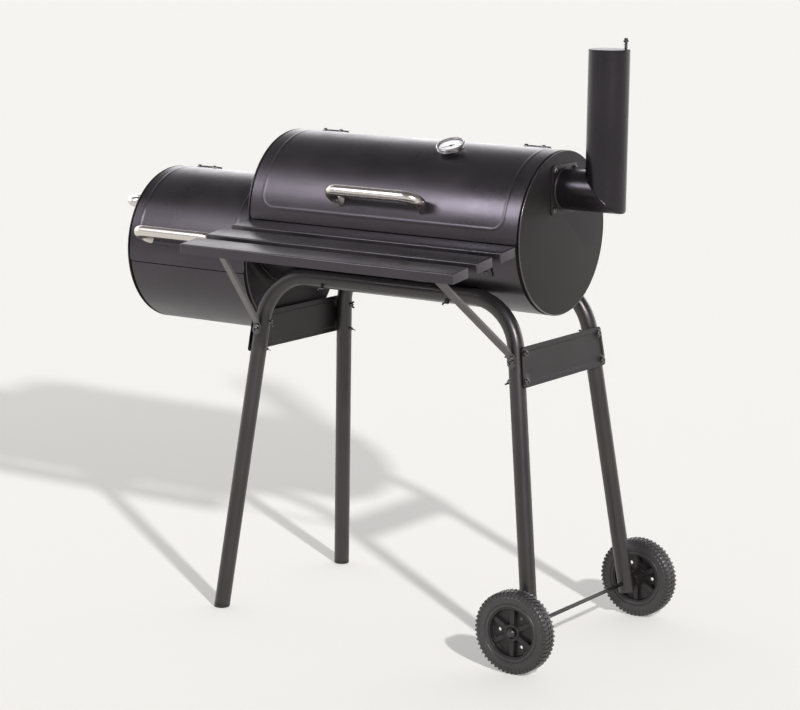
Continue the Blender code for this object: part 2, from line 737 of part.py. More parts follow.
def build_foot_cap(name, front):
    """A plastic plug pushed into the leg's end, as wide as the tube and cut level with the floor."""
    start = leg_point(-1, front, LEFT_LEG_END_Z)
    matrix = frame_at(start, leg_point(-1, front, RAIL_Z) - start)
    stem = (TUBE_R - TUBE_WALL) * cos(radians(15)) - GAP
    plug = turned([(0, -0.020), (TUBE_R, -0.020), (TUBE_R, -GAP), (stem, -GAP), (stem, 0.018),
                   (0, 0.018)], matrix, steps=24)
    boolean(plug, bpy.data.objects["floor_cutter"])
    return add_part(plug, name, "plastic")


def build_cross_plate(name, side):
    """A plate screwed to the outer sides of a front and a back leg."""
    z0, z1 = 0.4925, 0.5655
    middle = (z0 + z1) / 2
    low, high = leg_point(side, True, z0), leg_point(side, True, z1)
    up = Vector((high.x - low.x, 0, high.z - low.z)).normalized()
    out = Vector((up.z, 0, -up.x)) * side
    centre = leg_point(side, True, middle)
    origin = Vector((centre.x, AXIS_Y, middle)) + out * (TUBE_R + GAP + CROSS_PLATE / 2)
    matrix = frame_at(origin, out, (0, 1, 0))
    half = (z1 - z0) / 2
    over = 0.010
    wide = AXIS_Y - low.y + over
    narrow = AXIS_Y - high.y + over
    direction = 1 if matrix.to_3x3().col[1].z > 0 else -1
    outline = [(-wide, -half * direction), (wide, -half * direction),
               (narrow, half * direction), (-narrow, half * direction)]
    return add_part(sheet(outline, CROSS_PLATE, matrix), name, "powder")


def build_stand():
    floor = box((2.0, 2.0, 0.2), (0, 0, -0.1))
    add_cutter(floor, "floor_cutter")
    axle_x = MAIN_RIGHT + AXLE_X
    hole = cylinder((axle_x, AXIS_Y - 0.3, WHEEL_R), (axle_x, AXIS_Y + 0.3, WHEEL_R),
                    AXLE_R + GAP, 20)
    add_cutter(hole, "axle_hole_cutter")
    for place, front in (("front", True), ("back", False)):
        build_leg(f"{place}_leg_left", -1, front)
        build_leg(f"{place}_leg_right", 1, front)
        build_foot_cap("foot_cap_" + place, front)
    build_cross_plate("cross_plate_left", -1)
    build_cross_plate("cross_plate_right", 1)


# ---------------------------------------------------------------- wheels
def wheel_matrix(side):
    """Z points out of the wheel's outer face; side is -1 in front and 1 at the back."""
    origin = (MAIN_RIGHT + AXLE_X, AXIS_Y + side * WHEEL_OUTER_Y, WHEEL_R)
    return frame_at(origin, (0, side, 0), (0, 0, 1))


def build_wheel(place, side):
    matrix = wheel_matrix(side)
    shoulder = 0.004
    tyre = [(TYRE_BORE, -0.001), (WHEEL_R - 0.006, 0), (WHEEL_R, -shoulder),
            (WHEEL_R, -WHEEL_W + shoulder), (WHEEL_R - 0.006, -WHEEL_W),
            (TYRE_BORE, -WHEEL_W + 0.001)]
    obj = turned(tyre, matrix, steps=48, closed=True)
    add_part(obj, f"wheel_tyre_{place}", "rubber")

    rim, bore = TYRE_BORE - 0.0006, AXLE_R + RUNNING
    web, half_web = -WHEEL_W / 2, 0.002
    wall = 0.0035
    boss = 0.0170
    leg_middle = leg_point(1, False, RIGHT_LEG_END_Z).y - AXIS_Y
    leg_outside = leg_middle + TUBE_R * hypot(1, RIGHT_Y_LEAN)
    inner_end = leg_outside + 2 * GAP - WHEEL_OUTER_Y
    hub = [(bore, -0.004), (boss, -0.004), (boss, web + half_web), (rim - wall, web + half_web),
           (rim - wall, -0.0015), (rim, -0.0015), (rim, -WHEEL_W + 0.0015),
           (rim - wall, -WHEEL_W + 0.0015), (rim - wall, web - half_web), (boss, web - half_web),
           (boss, inner_end), (bore, inner_end)]
    obj = turned(hub, matrix, steps=36, closed=True)
    add_part(obj, f"wheel_hub_{place}", "plastic")

    nut = [(0, 0.0040), (0.0060, 0.0030), (0.0080, 0.0005), (0.0080, -0.0035),
           (AXLE_R + 0.0002, -0.0035), (AXLE_R + 0.0002, 0.0010), (0, 0.0010)]
    add_part(turned(nut, matrix, steps=20), f"axle_nut_{place}", "zinc")


def build_wheels():
    axle_x = MAIN_RIGHT + AXLE_X
    end = WHEEL_OUTER_Y + 0.0005
    axle = cylinder((axle_x, AXIS_Y - end, WHEEL_R), (axle_x, AXIS_Y + end, WHEEL_R), AXLE_R, 20)
    add_part(axle, "axle", "powder")
    build_wheel("front", -1)
    build_wheel("back", 1)


# ---------------------------------------------------------------- shelf
def shelf_matrix():
    """X along the shelf, Y back towards the barrel, Z out of the slats' top."""
    origin = (MAIN_MID, AXIS_Y + SHELF_INNER_Y, SHELF_INNER_Z)
    return Matrix.Translation(origin) @ Matrix.Rotation(radians(SHELF_TILT), 4, "X")


def build_slat(name, index):
    """A folded channel, open underneath, with closed ends."""
    matrix = shelf_matrix()
    y = -(SLAT_W / 2 + index * SLAT_PITCH)
    bm = bmesh.new()
    bmesh.ops.create_cube(bm, size=1.0)
    bmesh.ops.scale(bm, verts=bm.verts, vec=(SHELF_LEN, SLAT_W, SLAT_H))
    bmesh.ops.translate(bm, verts=bm.verts, vec=(0, y, -SLAT_H / 2))
    bottom = [face for face in bm.faces if face.normal.z < -0.5]
    bmesh.ops.delete(bm, geom=bottom, context="FACES_ONLY")
    obj = object_from_bmesh(bm, name)
    obj.matrix_world = matrix
    mod = obj.modifiers.new("sheet", "SOLIDIFY")
    mod.thickness = 0.0012
    mod.offset = -1.0
    mod.use_even_offset = True
    return add_part(obj, name, "powder")


def shelf_yz(y, depth):
    """World (y, z) of a place on the shelf, y back from its inner edge, depth below its top."""
    point = shelf_matrix() @ Vector((0, y, -depth))
    return (point.y, point.z)


def strip_part(name, points, thickness, width, x, finish):
    """A bent strip whose (y, z) middle line is swept along X."""
    matrix = Matrix.Translation((x, 0, 0)) @ frame_at((0, 0, 0), (1, 0, 0), (0, 1, 0))
    obj = sheet(strip_outline(points, thickness), width, matrix)
    return add_part(obj, name, finish)


def build_bracket(name, x):
    """A flat strap under the slats, bent down at its inner end on to the barrel."""
    thick = 0.003
    line = BARREL_R + GAP + thick / 2 + 0.0004
    tab = [radial_point(0, theta, line) for theta in (-27.0, -20.0, -13.0)]
    points = [(p.y, p.z) for p in tab]
    depth = SLAT_H + GAP + thick / 2
    points += [shelf_yz(-0.006, depth), shelf_yz(-SHELF_DEPTH + 0.008, depth)]
    return strip_part(name, points, thick, BRACKET_W, x, "powder")


def build_strut(name, side, top_x):
    """A strap from the front of a leg up to the shelf's bracket; its slope leans sideways."""
    thick = 0.002
    bolt_z = 0.540
    bolt = leg_point(side, True, bolt_z)
    out = TUBE_R + GAP + thick / 2 + 0.0006
    points = []
    for z in (bolt_z - 0.011, bolt_z + 0.010):
        points.append((leg_point(side, True, z).y - out, z))
    depth = SLAT_H + 2 * GAP + 0.003 + thick / 2
    points += [shelf_yz(-0.160, depth), shelf_yz(-0.176, depth)]
    strut = strip_part(name, points, thick, STRUT_W, bolt.x, "powder")
    lean = top_x - bolt.x
    start, end = points[1][0], points[2][0]
    world = strut.matrix_world.copy()
    strut.data.transform(world)
    strut.matrix_world = Matrix.Identity(4)
    for vert in strut.data.vertices:
        share = (vert.co.y - start) / (end - start)
        vert.co.x += lean * min(max(share, 0.0), 1.0)
    return strut


def build_shelf():
    for index, place in enumerate(("inner", "middle", "outer")):
        build_slat("shelf_slat_" + place, index)
    for place, side, x in (("left", -1, LEFT_BRACKET_X), ("right", 1, RIGHT_BRACKET_X)):
        build_bracket("shelf_bracket_" + place, MAIN_MID + x)
        build_strut("shelf_strut_" + place, side, MAIN_MID + x)


# ---------------------------------------------------------------- grates and end handle
def build_grate(name, x0, x1, axis_z, half_width, bars, thickness):
    """A flat grate whose long edges rest on the barrel's sides."""
    room = (BARREL_R - SHEET) * cos(radians(ARC_STEP / 2)) - 0.0006
    level = axis_z - sqrt(room ** 2 - half_width ** 2) + thickness / 2
    length = x1 - x0
    border = 0.006
    pitch = (length - border) / bars
    bar = 0.0045
    slots = []
    for i in range(bars):
        left = -length / 2 + border + i * pitch
        right = left + pitch - bar
        slots.append([(left, -half_width + border), (right, -half_width + border),
                      (right, half_width - border), (left, half_width - border)])
    outline = [(-length / 2, -half_width), (length / 2, -half_width),
               (length / 2, half_width), (-length / 2, half_width)]
    matrix = Matrix.Translation(((x0 + x1) / 2, AXIS_Y, level))
    return add_part(sheet(outline, thickness, matrix, slots), name, "enamel")


def build_grates():
    ends = FLANGE_DEPTH + 0.004
    build_grate("cooking_grate", MAIN_LEFT + ends, MAIN_RIGHT - ends, AXIS_Z, 0.143, 28, 0.004)
    build_grate("main_charcoal_grate", MAIN_LEFT + ends, MAIN_RIGHT - ends, AXIS_Z, 0.108, 22, 0.004)
    build_grate("firebox_charcoal_grate", FIREBOX_LEFT + ends, FIREBOX_RIGHT - ends, FIREBOX_Z,
                0.108, 10, 0.004)


def build_transport_handle():
    """A bent tube across the firebox's outer end, for lifting the left legs."""
    z = FIREBOX_Z + 0.0856
    feet = [Vector((FIREBOX_LEFT, AXIS_Y + s * HANDLE_FOOT, z)) for s in (-1, 1)]
    tops = [Vector((FIREBOX_LEFT - HANDLE_OUT, AXIS_Y + s * HANDLE_REACH, z)) for s in (-1, 1)]
    bar = handle_bar(feet, tops)
    near = FIREBOX_LEFT - GAP
    wall = box((0.1, 0.4, 0.1), (near + 0.05, AXIS_Y, z))
    boolean(bar, add_cutter(wall, "transport_handle_seat_cutter"))
    add_part(bar, "transport_handle", "steel")


def main():
    global PARTS, CUTTERS
    clear_scene()
    PARTS = new_collection("offset_smoker")
    CUTTERS = new_collection("cutters")
    build_barrels()
    build_vent_shutter()
    build_lids()
    build_thermometer()
    build_pipe()
    build_damper()
    build_stand()
    build_wheels()
    build_shelf()
    build_grates()
    build_transport_handle()


main()
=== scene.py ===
"""Looks of the offset smoker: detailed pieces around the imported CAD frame, finishes, light and camera.

Metres, +Z up. Theta is in degrees about a barrel's axis, from the front horizontal up and over to
the back.
"""

import json
from itertools import accumulate
from math import acos, asin, atan2, cos, degrees, hypot, pi, radians, sin, sqrt, tan

import bmesh
import bpy
from mathutils import Matrix, Vector


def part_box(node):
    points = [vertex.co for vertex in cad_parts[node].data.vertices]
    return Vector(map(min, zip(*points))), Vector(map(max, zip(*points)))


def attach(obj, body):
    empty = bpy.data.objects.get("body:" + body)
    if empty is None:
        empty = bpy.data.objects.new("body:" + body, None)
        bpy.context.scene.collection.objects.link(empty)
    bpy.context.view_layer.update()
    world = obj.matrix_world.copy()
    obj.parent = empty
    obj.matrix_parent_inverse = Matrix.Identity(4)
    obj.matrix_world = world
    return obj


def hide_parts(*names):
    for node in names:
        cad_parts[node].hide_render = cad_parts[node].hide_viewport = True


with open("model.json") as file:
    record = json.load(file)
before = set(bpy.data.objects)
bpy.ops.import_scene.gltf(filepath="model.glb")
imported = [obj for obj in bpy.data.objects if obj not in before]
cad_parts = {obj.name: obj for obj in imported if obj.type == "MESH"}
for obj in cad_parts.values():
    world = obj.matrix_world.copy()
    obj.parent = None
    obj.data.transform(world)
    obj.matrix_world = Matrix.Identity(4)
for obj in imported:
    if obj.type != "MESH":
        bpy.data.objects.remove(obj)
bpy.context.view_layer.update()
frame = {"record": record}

ROOT = "stand_and_barrels"
X, Y, Z = Vector((1, 0, 0)), Vector((0, 1, 0)), Vector((0, 0, 1))


def low(node):
    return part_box(node)[0]


def high(node):
    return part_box(node)[1]


def centre(node):
    a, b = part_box(node)
    return (a + b) / 2


# ---------------------------------------------------------------- places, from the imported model
AXIS_Y = centre("main_end_plate_right").y
MAIN_Z = centre("main_end_plate_right").z
FIRE_Z = centre("firebox_end_plate_left").z
BARREL_R = (high("main_end_plate_right").z - low("main_end_plate_right").z) / 2
MAIN_LEFT, MAIN_RIGHT = low("main_end_plate_left").x, high("main_end_plate_right").x
FIRE_LEFT, FIRE_RIGHT = low("firebox_end_plate_left").x, high("firebox_end_plate_right").x
MAIN_MID = (MAIN_LEFT + MAIN_RIGHT) / 2
FIRE_MID = (FIRE_LEFT + FIRE_RIGHT) / 2
MOUNTS = {mount["name"]: Vector(mount["pos_m"]) for mount in frame["record"]["mounts"]}

SHEET = 0.0012
FLANGE_DEPTH = 0.014
TUBE_R = 0.015
TUBE_WALL = 0.0012
LEAN = {"left": 0.086, "right": -0.139}
Y_LEAN = {"left": 0.119, "right": 0.092}
BEND_R = 0.098
SHELF_TILT = 6.9
VENT_HOLE_R = 0.0105
DOORWAY_Z, DOORWAY_R = 0.715, 0.058
RAIL_BOLTS = (0.435, 0.158)          # left of the main barrel's right end
CROSS_Z = (0.4925, 0.5655)           # lower and upper edges of the cross plates
SLAT_W = 0.052
HANDLE_FOOT, HANDLE_REACH, HANDLE_OUT = 0.091, 0.110, 0.044
HANDLE_R, HANDLE_BEND = 0.0105, 0.026
HANDLE_TILT = 3.1                    # degrees further up for the bar than for its feet
MAIN_HANDLE_THETA, FIRE_HANDLE_THETA = 16.9, 10.6
LID_GAP, BODY_GAP = 0.0012, 0.0048   # from the ends of the CAD's sheets
LID_CORNER = 0.0075
RIB_TOP, RIB_CORNER, RIB_HALF_WIDTH, RIB_HEIGHT = 101, 0.024, 0.0042, 0.00052


# ---------------------------------------------------------------- mesh tools
def placed(name, data, matrix=Matrix()):
    """A new object in the scene."""
    obj = bpy.data.objects.new(name, data)
    bpy.context.scene.collection.objects.link(obj)
    obj.matrix_world = matrix
    return obj


def to_object(name, bm, angle=35.0):
    """A shaded object from a bmesh; edges sharper than the angle stay crisp."""
    bmesh.ops.recalc_face_normals(bm, faces=bm.faces)
    limit = radians(angle)
    for face in bm.faces:
        face.smooth = True
    for edge in bm.edges:
        edge.smooth = len(edge.link_faces) == 2 and edge.calc_face_angle(0.0) < limit
    mesh = bpy.data.meshes.new(name)
    bm.to_mesh(mesh)
    bm.free()
    return placed(name, mesh)


def loft(name, rings, loop=False, caps=True, angle=35.0, matrix=Matrix()):
    """Faces between rings of points; loop joins the last ring to the first."""
    bm = bmesh.new()
    rows = [[bm.verts.new(matrix @ Vector(p)) for p in ring] for ring in rings]
    pairs = list(zip(rows, rows[1:]))
    if loop:
        pairs.append((rows[-1], rows[0]))
    count = len(rows[0])
    for a, b in pairs:
        for i in range(count):
            j = (i + 1) % count
            bm.faces.new((a[i], a[j], b[j], b[i]))
    if caps and not loop:
        bm.faces.new(rows[0][::-1])
        bm.faces.new(rows[-1])
    bmesh.ops.remove_doubles(bm, verts=bm.verts, dist=1e-7)
    return to_object(name, bm, angle)


def circle(radius, steps=48):
    turn = [2 * pi * i / steps for i in range(steps)]
    return [(radius * cos(a), radius * sin(a)) for a in turn]


def level_ring(radius, height, steps=48):
    return [(x, y, height) for x, y in circle(radius, steps)]


def lathe(name, profile, matrix, steps=72, loop=False, angle=35.0):
    """A profile of (radius, height) points turned about the matrix's Z."""
    return loft(name, [level_ring(r, h, steps) for r, h in profile], loop, False, angle, matrix)


def corner_arc(before, corner, after, radius, count):
    """Points of the arc that rounds a corner, or the corner itself where the line hardly turns."""
    u, w = (before - corner).normalized(), (after - corner).normalized()
    half = u.angle(w) / 2
    if pi / 2 - half < 0.005:
        return [corner]
    middle = corner + (u + w).normalized() * (radius / sin(half))
    first, last = (corner + side * (radius / tan(half)) - middle for side in (u, w))
    sweep = first.angle(last)
    turn = [sweep * i / (count - 1) for i in range(count)]
    return [middle + (first * sin(sweep - a) + last * sin(a)) / sin(sweep) for a in turn]


def rounded(points, closed=False, segments=5):
    """A polyline of (x, y, radius) corners with each corner turned into an arc."""
    result = []
    count = len(points)
    for i, (x, y, radius) in enumerate(points):
        if radius and (closed or 0 < i < count - 1):
            corner = [Vector(points[j % count][:2]) for j in (i - 1, i, i + 1)]
            result += [tuple(p) for p in corner_arc(*corner, radius, segments + 1)]
        else:
            result.append((x, y))
    return result


def bent_path(points, radius, count=10):
    """A 3-D polyline with its inner corners rounded."""
    points = [Vector(p) for p in points]
    path = [points[0]]
    for corner in zip(points, points[1:], points[2:]):
        path += corner_arc(*corner, radius, count)
    return path + [points[-1]]


def run_lengths(path):
    """The length along a path up to each of its points."""
    return [0.0, *accumulate((b - a).length for a, b in zip(path, path[1:]))]


def swept_rings(path, section, up):
    """Rings of a section carried along a path without twist; section may depend on the point."""
    rings, side = [], Vector(up)
    last = len(path) - 1
    for i, point in enumerate(path):
        along = (path[min(i + 1, last)] - path[max(i - 1, 0)]).normalized()
        side = (side - along * side.dot(along)).normalized()
        other = along.cross(side)
        shape = section(i) if callable(section) else section
        rings.append([point + side * u + other * v for u, v in shape])
    return rings


def rod(name, path, radius, up=Z, steps=24):
    path = [Vector(p) for p in path]
    return loft(name, swept_rings(path, circle(radius, steps), up))


def hollow(name, path, radius, wall, up=Z, steps=32):
    """An open tube with a real wall."""
    outer, inner = (swept_rings(path, circle(r, steps), up) for r in (radius, radius - wall))
    return loft(name, outer + inner[::-1], loop=True)


def slab(name, outer, inner, angle=35.0):
    """A closed sheet between two grids of points."""
    bm = bmesh.new()
    sides = [[[bm.verts.new(p) for p in row] for row in grid] for grid in (outer, inner)]
    rows, cols = len(outer), len(outer[0])
    for grid in sides:
        for i in range(rows - 1):
            for j in range(cols - 1):
                bm.faces.new((grid[i][j], grid[i][j + 1], grid[i + 1][j + 1], grid[i + 1][j]))
    border = [(0, j) for j in range(cols)] + [(i, cols - 1) for i in range(1, rows)]
    border += [(rows - 1, j) for j in range(cols - 2, -1, -1)] + [(i, 0) for i in range(rows - 2, 0, -1)]
    for (i, j), (k, m) in zip(border, border[1:] + border[:1]):
        bm.faces.new((sides[0][i][j], sides[0][k][m], sides[1][k][m], sides[1][i][j]))
    return to_object(name, bm, angle)


def soften(obj, width, segments=2, angle=40.0):
    """Rounds the sharp edges of a closed mesh."""
    bm = bmesh.new()
    bm.from_mesh(obj.data)
    sharp = [e for e in bm.edges if len(e.link_faces) == 2 and e.calc_face_angle(0.0) > radians(angle)]
    bmesh.ops.bevel(bm, geom=sharp, offset=width, segments=segments, profile=0.6, affect="EDGES",
                    clamp_overlap=True)
    name = obj.name
    bpy.data.objects.remove(obj)
    return to_object(name, bm)


def block(name, size, matrix, bevel=0.0005):
    bm = bmesh.new()
    bmesh.ops.create_cube(bm, size=1.0)
    bmesh.ops.scale(bm, verts=bm.verts, vec=size)
    bmesh.ops.transform(bm, matrix=matrix, verts=bm.verts)
    return soften(to_object(name, bm), bevel)


def evaluated(obj):
    """The object with its modifiers, or its curve, made into a plain mesh."""
    bpy.context.view_layer.update()
    mesh = bpy.data.meshes.new_from_object(obj.evaluated_get(bpy.context.evaluated_depsgraph_get()))
    mesh.transform(obj.matrix_world)
    name = obj.name
    bpy.data.objects.remove(obj)
    bm = bmesh.new()
    bm.from_mesh(mesh)
    bpy.data.meshes.remove(mesh)
    bmesh.ops.remove_doubles(bm, verts=bm.verts, dist=1e-6)
    return to_object(name, bm)


def plate(name, outline, thickness, matrix, holes=(), bevel=0.0003):
    """A flat plate with holes, centred in thickness on the matrix's XY plane."""
    curve = bpy.data.curves.new(name, "CURVE")
    curve.dimensions = "2D"
    curve.fill_mode = "BOTH"
    curve.extrude = thickness / 2
    for line in (outline, *holes):
        spline = curve.splines.new("POLY")
        spline.points.add(len(line) - 1)
        for target, (x, y) in zip(spline.points, line):
            target.co = (x, y, 0, 1)
        spline.use_cyclic_u = True
    return soften(evaluated(placed(name, curve, matrix)), bevel)


def drill(obj, spots, radius, steps=48):
    """Round holes through the object, each along the Z of its spot's matrix."""
    profile = [(0, -0.02), (radius, -0.02), (radius, 0.02), (0, 0.02)]
    tools = [lathe("drill", profile, spot, steps) for spot in spots]
    for tool in tools:
        mod = obj.modifiers.new("cut", "BOOLEAN")
        mod.operation = "DIFFERENCE"
        mod.solver = "EXACT"
        mod.object = tool
    result = evaluated(obj)
    for tool in tools:
        bpy.data.objects.remove(tool)
    return result


def join(name, parts):
    """Several meshes as one piece."""
    bm = bmesh.new()
    for part in parts:
        part.data.transform(part.matrix_world)
        bm.from_mesh(part.data)
        bpy.data.objects.remove(part)
    return to_object(name, bm)


def axes(origin, z_axis, x_hint=X):
    """A matrix at origin whose Z is z_axis."""
    z = Vector(z_axis).normalized()
    x = Vector(x_hint)
    x = (x - z * x.dot(z)).normalized()
    matrix = Matrix((x, z.cross(x), z)).transposed().to_4x4()
    matrix.translation = origin
    return matrix


def shift(x, y, z):
    return Matrix.Translation((x, y, z))


def spin(angle):
    """A turn about Z, in radians."""
    return Matrix.Rotation(angle, 4, "Z")


def rectangle(x0, x1, y0, y1, radius, segments):
    """A rectangle with rounded corners."""
    corners = [(x1, y1), (x0, y1), (x0, y0), (x1, y0)]
    return rounded([(x, y, radius) for x, y in corners], closed=True, segments=segments)


def on_barrel(x, theta, radius, axis_z):
    a = radians(theta)
    return Vector((x, AXIS_Y - radius * cos(a), axis_z + radius * sin(a)))


def radial(theta):
    a = radians(theta)
    return Vector((0, -cos(a), sin(a)))


def fill(tree, node, inputs):
    """Gives each input of a node its value, or a link where the value is a socket."""
    for name, value in inputs.items():
        if isinstance(value, bpy.types.NodeSocket):
            tree.links.new(value, node.inputs[name])
        else:
            node.inputs[name].default_value = value


def shader(tree, kind, output, inputs, **settings):
    """The output of a new node with its settings and inputs."""
    node = tree.nodes.new("ShaderNode" + kind)
    for name, value in settings.items():
        setattr(node, name, value)
    fill(tree, node, inputs)
    return node.outputs[output]


def new_material(name):
    mat = bpy.data.materials.new(name)
    mat.use_nodes = True
    return mat, mat.node_tree, mat.node_tree.nodes["Principled BSDF"]


def noise(tree, scale, detail):
    """A noise texture in the piece's own metres."""
    inputs = {"Vector": shader(tree, "TexCoord", "Object", {}), "Scale": scale, "Detail": detail,
              "Roughness": 0.55}
    return shader(tree, "TexNoise", "Fac", inputs)


def spread(tree, value, out_low, out_high):
    """Stretches the middle of a noise value over a new range."""
    inputs = {"Value": value, "From Min": 0.35, "From Max": 0.65, "To Min": out_low, "To Max": out_high}
    return shader(tree, "MapRange", "Result", inputs)


def tinted(tree, factor, dark, light):
    return shader(tree, "Mix", "Result", {"Factor": factor, "A": (*dark, 1), "B": (*light, 1)},
                  data_type="RGBA")


def bump(tree, height, strength, distance, **below):
    inputs = {"Height": height, "Strength": strength, "Distance": distance, **below}
    return shader(tree, "Bump", "Normal", inputs)


def finish(name, colour, roughness, metallic=0.0, specular=0.5, tone=0.25, rough_spread=0.06,
           grain=900.0, grain_bump=0.10, wave=60.0, wave_bump=0.05, coat=0.0, coat_rough=0.2,
           sheen_tint=(1.0, 1.0, 1.0)):
    """A painted, plated or moulded surface: blotchy tone and gloss, fine grain and a slow wave."""
    mat, tree, bsdf = new_material(name)
    broad, fine, slow = noise(tree, 7.0, 5.0), noise(tree, grain, 3.0), noise(tree, wave, 2.0)
    dark, light = ([c * (1 + change) for c in colour] for change in (-tone, tone))
    gloss = {0: spread(tree, broad, roughness - rough_spread, roughness + rough_spread),
             1: spread(tree, fine, -rough_spread / 2, rough_spread / 2)}
    fill(tree, bsdf, {
        "Base Color": tinted(tree, spread(tree, broad, 0, 1), dark, light),
        "Roughness": shader(tree, "Math", 0, gloss, operation="ADD"),
        "Metallic": metallic, "Specular IOR Level": specular, "Specular Tint": (*sheen_tint, 1),
        "Coat Weight": coat, "Coat Roughness": coat_rough,
        "Normal": bump(tree, fine, grain_bump, 0.0004, Normal=bump(tree, slow, wave_bump, 0.002)),
    })
    return mat


def lens(name):
    """Clear glass that lets the light through, with a faint smear in its gloss."""
    mat, tree, bsdf = new_material(name)
    smear = noise(tree, 60.0, 4.0)
    fill(tree, bsdf, {"Roughness": spread(tree, smear, 0.01, 0.08),
                      "Base Color": tinted(tree, smear, (0.96, 0.98, 0.98), (1, 1, 1)),
                      "Transmission Weight": 1.0, "IOR": 1.05})
    return mat


VIOLET = (1.0, 0.92, 1.03)
WARM = (1.0, 0.93, 0.95)
BARREL_COAT = finish("barrel_coat", (0.0125, 0.0104, 0.0122), 0.32, specular=0.75, grain=1100,
                     grain_bump=0.16, sheen_tint=VIOLET)
PLATE_COAT = finish("plate_coat", (0.0120, 0.0104, 0.0110), 0.46, specular=0.22, grain=1300,
                    grain_bump=0.24, sheen_tint=WARM)
STACK_COAT = finish("stack_coat", (0.0075, 0.0062, 0.0070), 0.27, specular=0.42, grain=1200,
                    grain_bump=0.22, sheen_tint=VIOLET)
DAMPER_COAT = finish("damper_coat", (0.0130, 0.0107, 0.0122), 0.42, specular=0.30,
                     grain=1200, grain_bump=0.16, sheen_tint=VIOLET)
FRAME_COAT = finish("frame_coat", (0.0135, 0.0115, 0.0125), 0.37, specular=0.75, grain=1400,
                    grain_bump=0.12, sheen_tint=WARM)
CROSS_COAT = finish("cross_plate_coat", (0.0120, 0.0104, 0.0110), 0.42, specular=0.28,
                    grain=1400, grain_bump=0.15, sheen_tint=WARM)
SHELF_COAT = finish("shelf_coat", (0.0150, 0.0126, 0.0146), 0.32, specular=0.70, grain=1300,
                    grain_bump=0.10, sheen_tint=VIOLET)
AXLE_COAT = finish("axle_coat", (0.0080, 0.0068, 0.0074), 0.20, specular=0.45, grain=1400,
                   grain_bump=0.06, sheen_tint=WARM)
HEM_COAT = finish("hem_coat", (0.0300, 0.0270, 0.0290), 0.20, specular=0.9, grain=1400,
                  grain_bump=0.04, sheen_tint=WARM)
STRUT_COAT = finish("strut_coat", (0.0620, 0.0550, 0.0560), 0.34, specular=0.80, grain=1300,
                    grain_bump=0.12, sheen_tint=WARM)
INNER_COAT = finish("grate_enamel", (0.0160, 0.0160, 0.0165), 0.30, grain=700, grain_bump=0.10,
                    coat=0.5, coat_rough=0.15)
CHROME = finish("handle_chrome", (0.66, 0.62, 0.58), 0.25, metallic=1.0, tone=0.06,
                rough_spread=0.03, grain=2600, grain_bump=0.01, wave=60, wave_bump=0.004)
DIAL_STEEL = finish("dial_case", (0.52, 0.51, 0.50), 0.09, metallic=1.0, tone=0.05,
                    rough_spread=0.03, grain=2600, grain_bump=0.02, wave_bump=0.02)
HARDWARE = finish("black_hardware", (0.14, 0.135, 0.14), 0.20, metallic=1.0, tone=0.35,
                  rough_spread=0.08, grain=2400, grain_bump=0.15)
CAP_COAT = finish("axle_cap", (0.030, 0.028, 0.030), 0.30, specular=0.6, grain=1500)
ZINC = finish("zinc_screw", (0.62, 0.61, 0.60), 0.22, metallic=1.0, grain=2400)
WHEEL_PLASTIC = finish("wheel_plastic", (0.0140, 0.0125, 0.0138), 0.38, specular=0.5, grain=1600,
                       grain_bump=0.12, sheen_tint=WARM)
TYRE_PLASTIC = finish("tyre", (0.0300, 0.0262, 0.0285), 0.38, specular=0.65, grain=1500, grain_bump=0.20)
FOOT_PLASTIC = finish("foot_plastic", (0.0120, 0.0120, 0.0130), 0.45, grain=1500, grain_bump=0.20)
DIAL_WHITE = finish("dial_face", (0.90, 0.90, 0.92), 0.35, tone=0.04, grain=2000, grain_bump=0.05)
# Print on the dial; the same dark finish also paints shade as a band round the dial's edge.
DIAL_INK_AND_SHADE = finish("dial_ink_and_shade", (0.10, 0.10, 0.11), 0.45, tone=0.2, grain=2500, grain_bump=0.05)
NEEDLE_RED = finish("needle_red", (0.045, 0.022, 0.021), 0.35, tone=0.15, grain=2500, grain_bump=0.05)
LENS = lens("dial_lens")


def keep(obj, body, material, *nodes):
    """Paints a piece, lets it ride on a body and hides the CAD nodes it stands for."""
    obj.data.materials.clear()
    obj.data.materials.append(material)
    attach(obj, body)
    if nodes:
        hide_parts(*nodes)
    return obj


# ---------------------------------------------------------------- fasteners
def drive_recess(radius, depth, top, steps=48):
    """Rings, from the rim in, of a cross-shaped screw recess."""
    rings = []
    for share, down in ((1.0, 0.0), (0.86, 0.55), (0.70, 1.0)):
        ring = []
        for x, y in circle(1.0, steps):
            r = radius * share * (0.55 + 0.45 * abs(x * x - y * y) ** 1.5)
            ring.append((r * x, r * y, top - depth * down))
        rings.append(ring)
    return rings + [[(0, 0, top - depth)] * steps]


def bolt_head(name, matrix, radius=0.0055, height=0.0032, washer=0.0):
    """A domed pan head with a cross recess, sitting on the matrix's XY plane."""
    base = washer and 0.0009
    rings = []
    if washer:
        rings += [level_ring(washer, 0), level_ring(washer, base - 0.0002),
                  level_ring(washer - 0.0003, base)]
    rings.append(level_ring(radius * 0.98, base))
    for share in (0.0, 0.35, 0.62):
        top = base + height * (0.25 + 0.75 * sin(share * pi / 2))
        rings.append(level_ring(radius * cos(share * pi / 2) ** 0.6, top))
    rings += drive_recess(radius * 0.62, height * 0.55, top)
    return loft(name, rings, caps=False, angle=50, matrix=matrix)


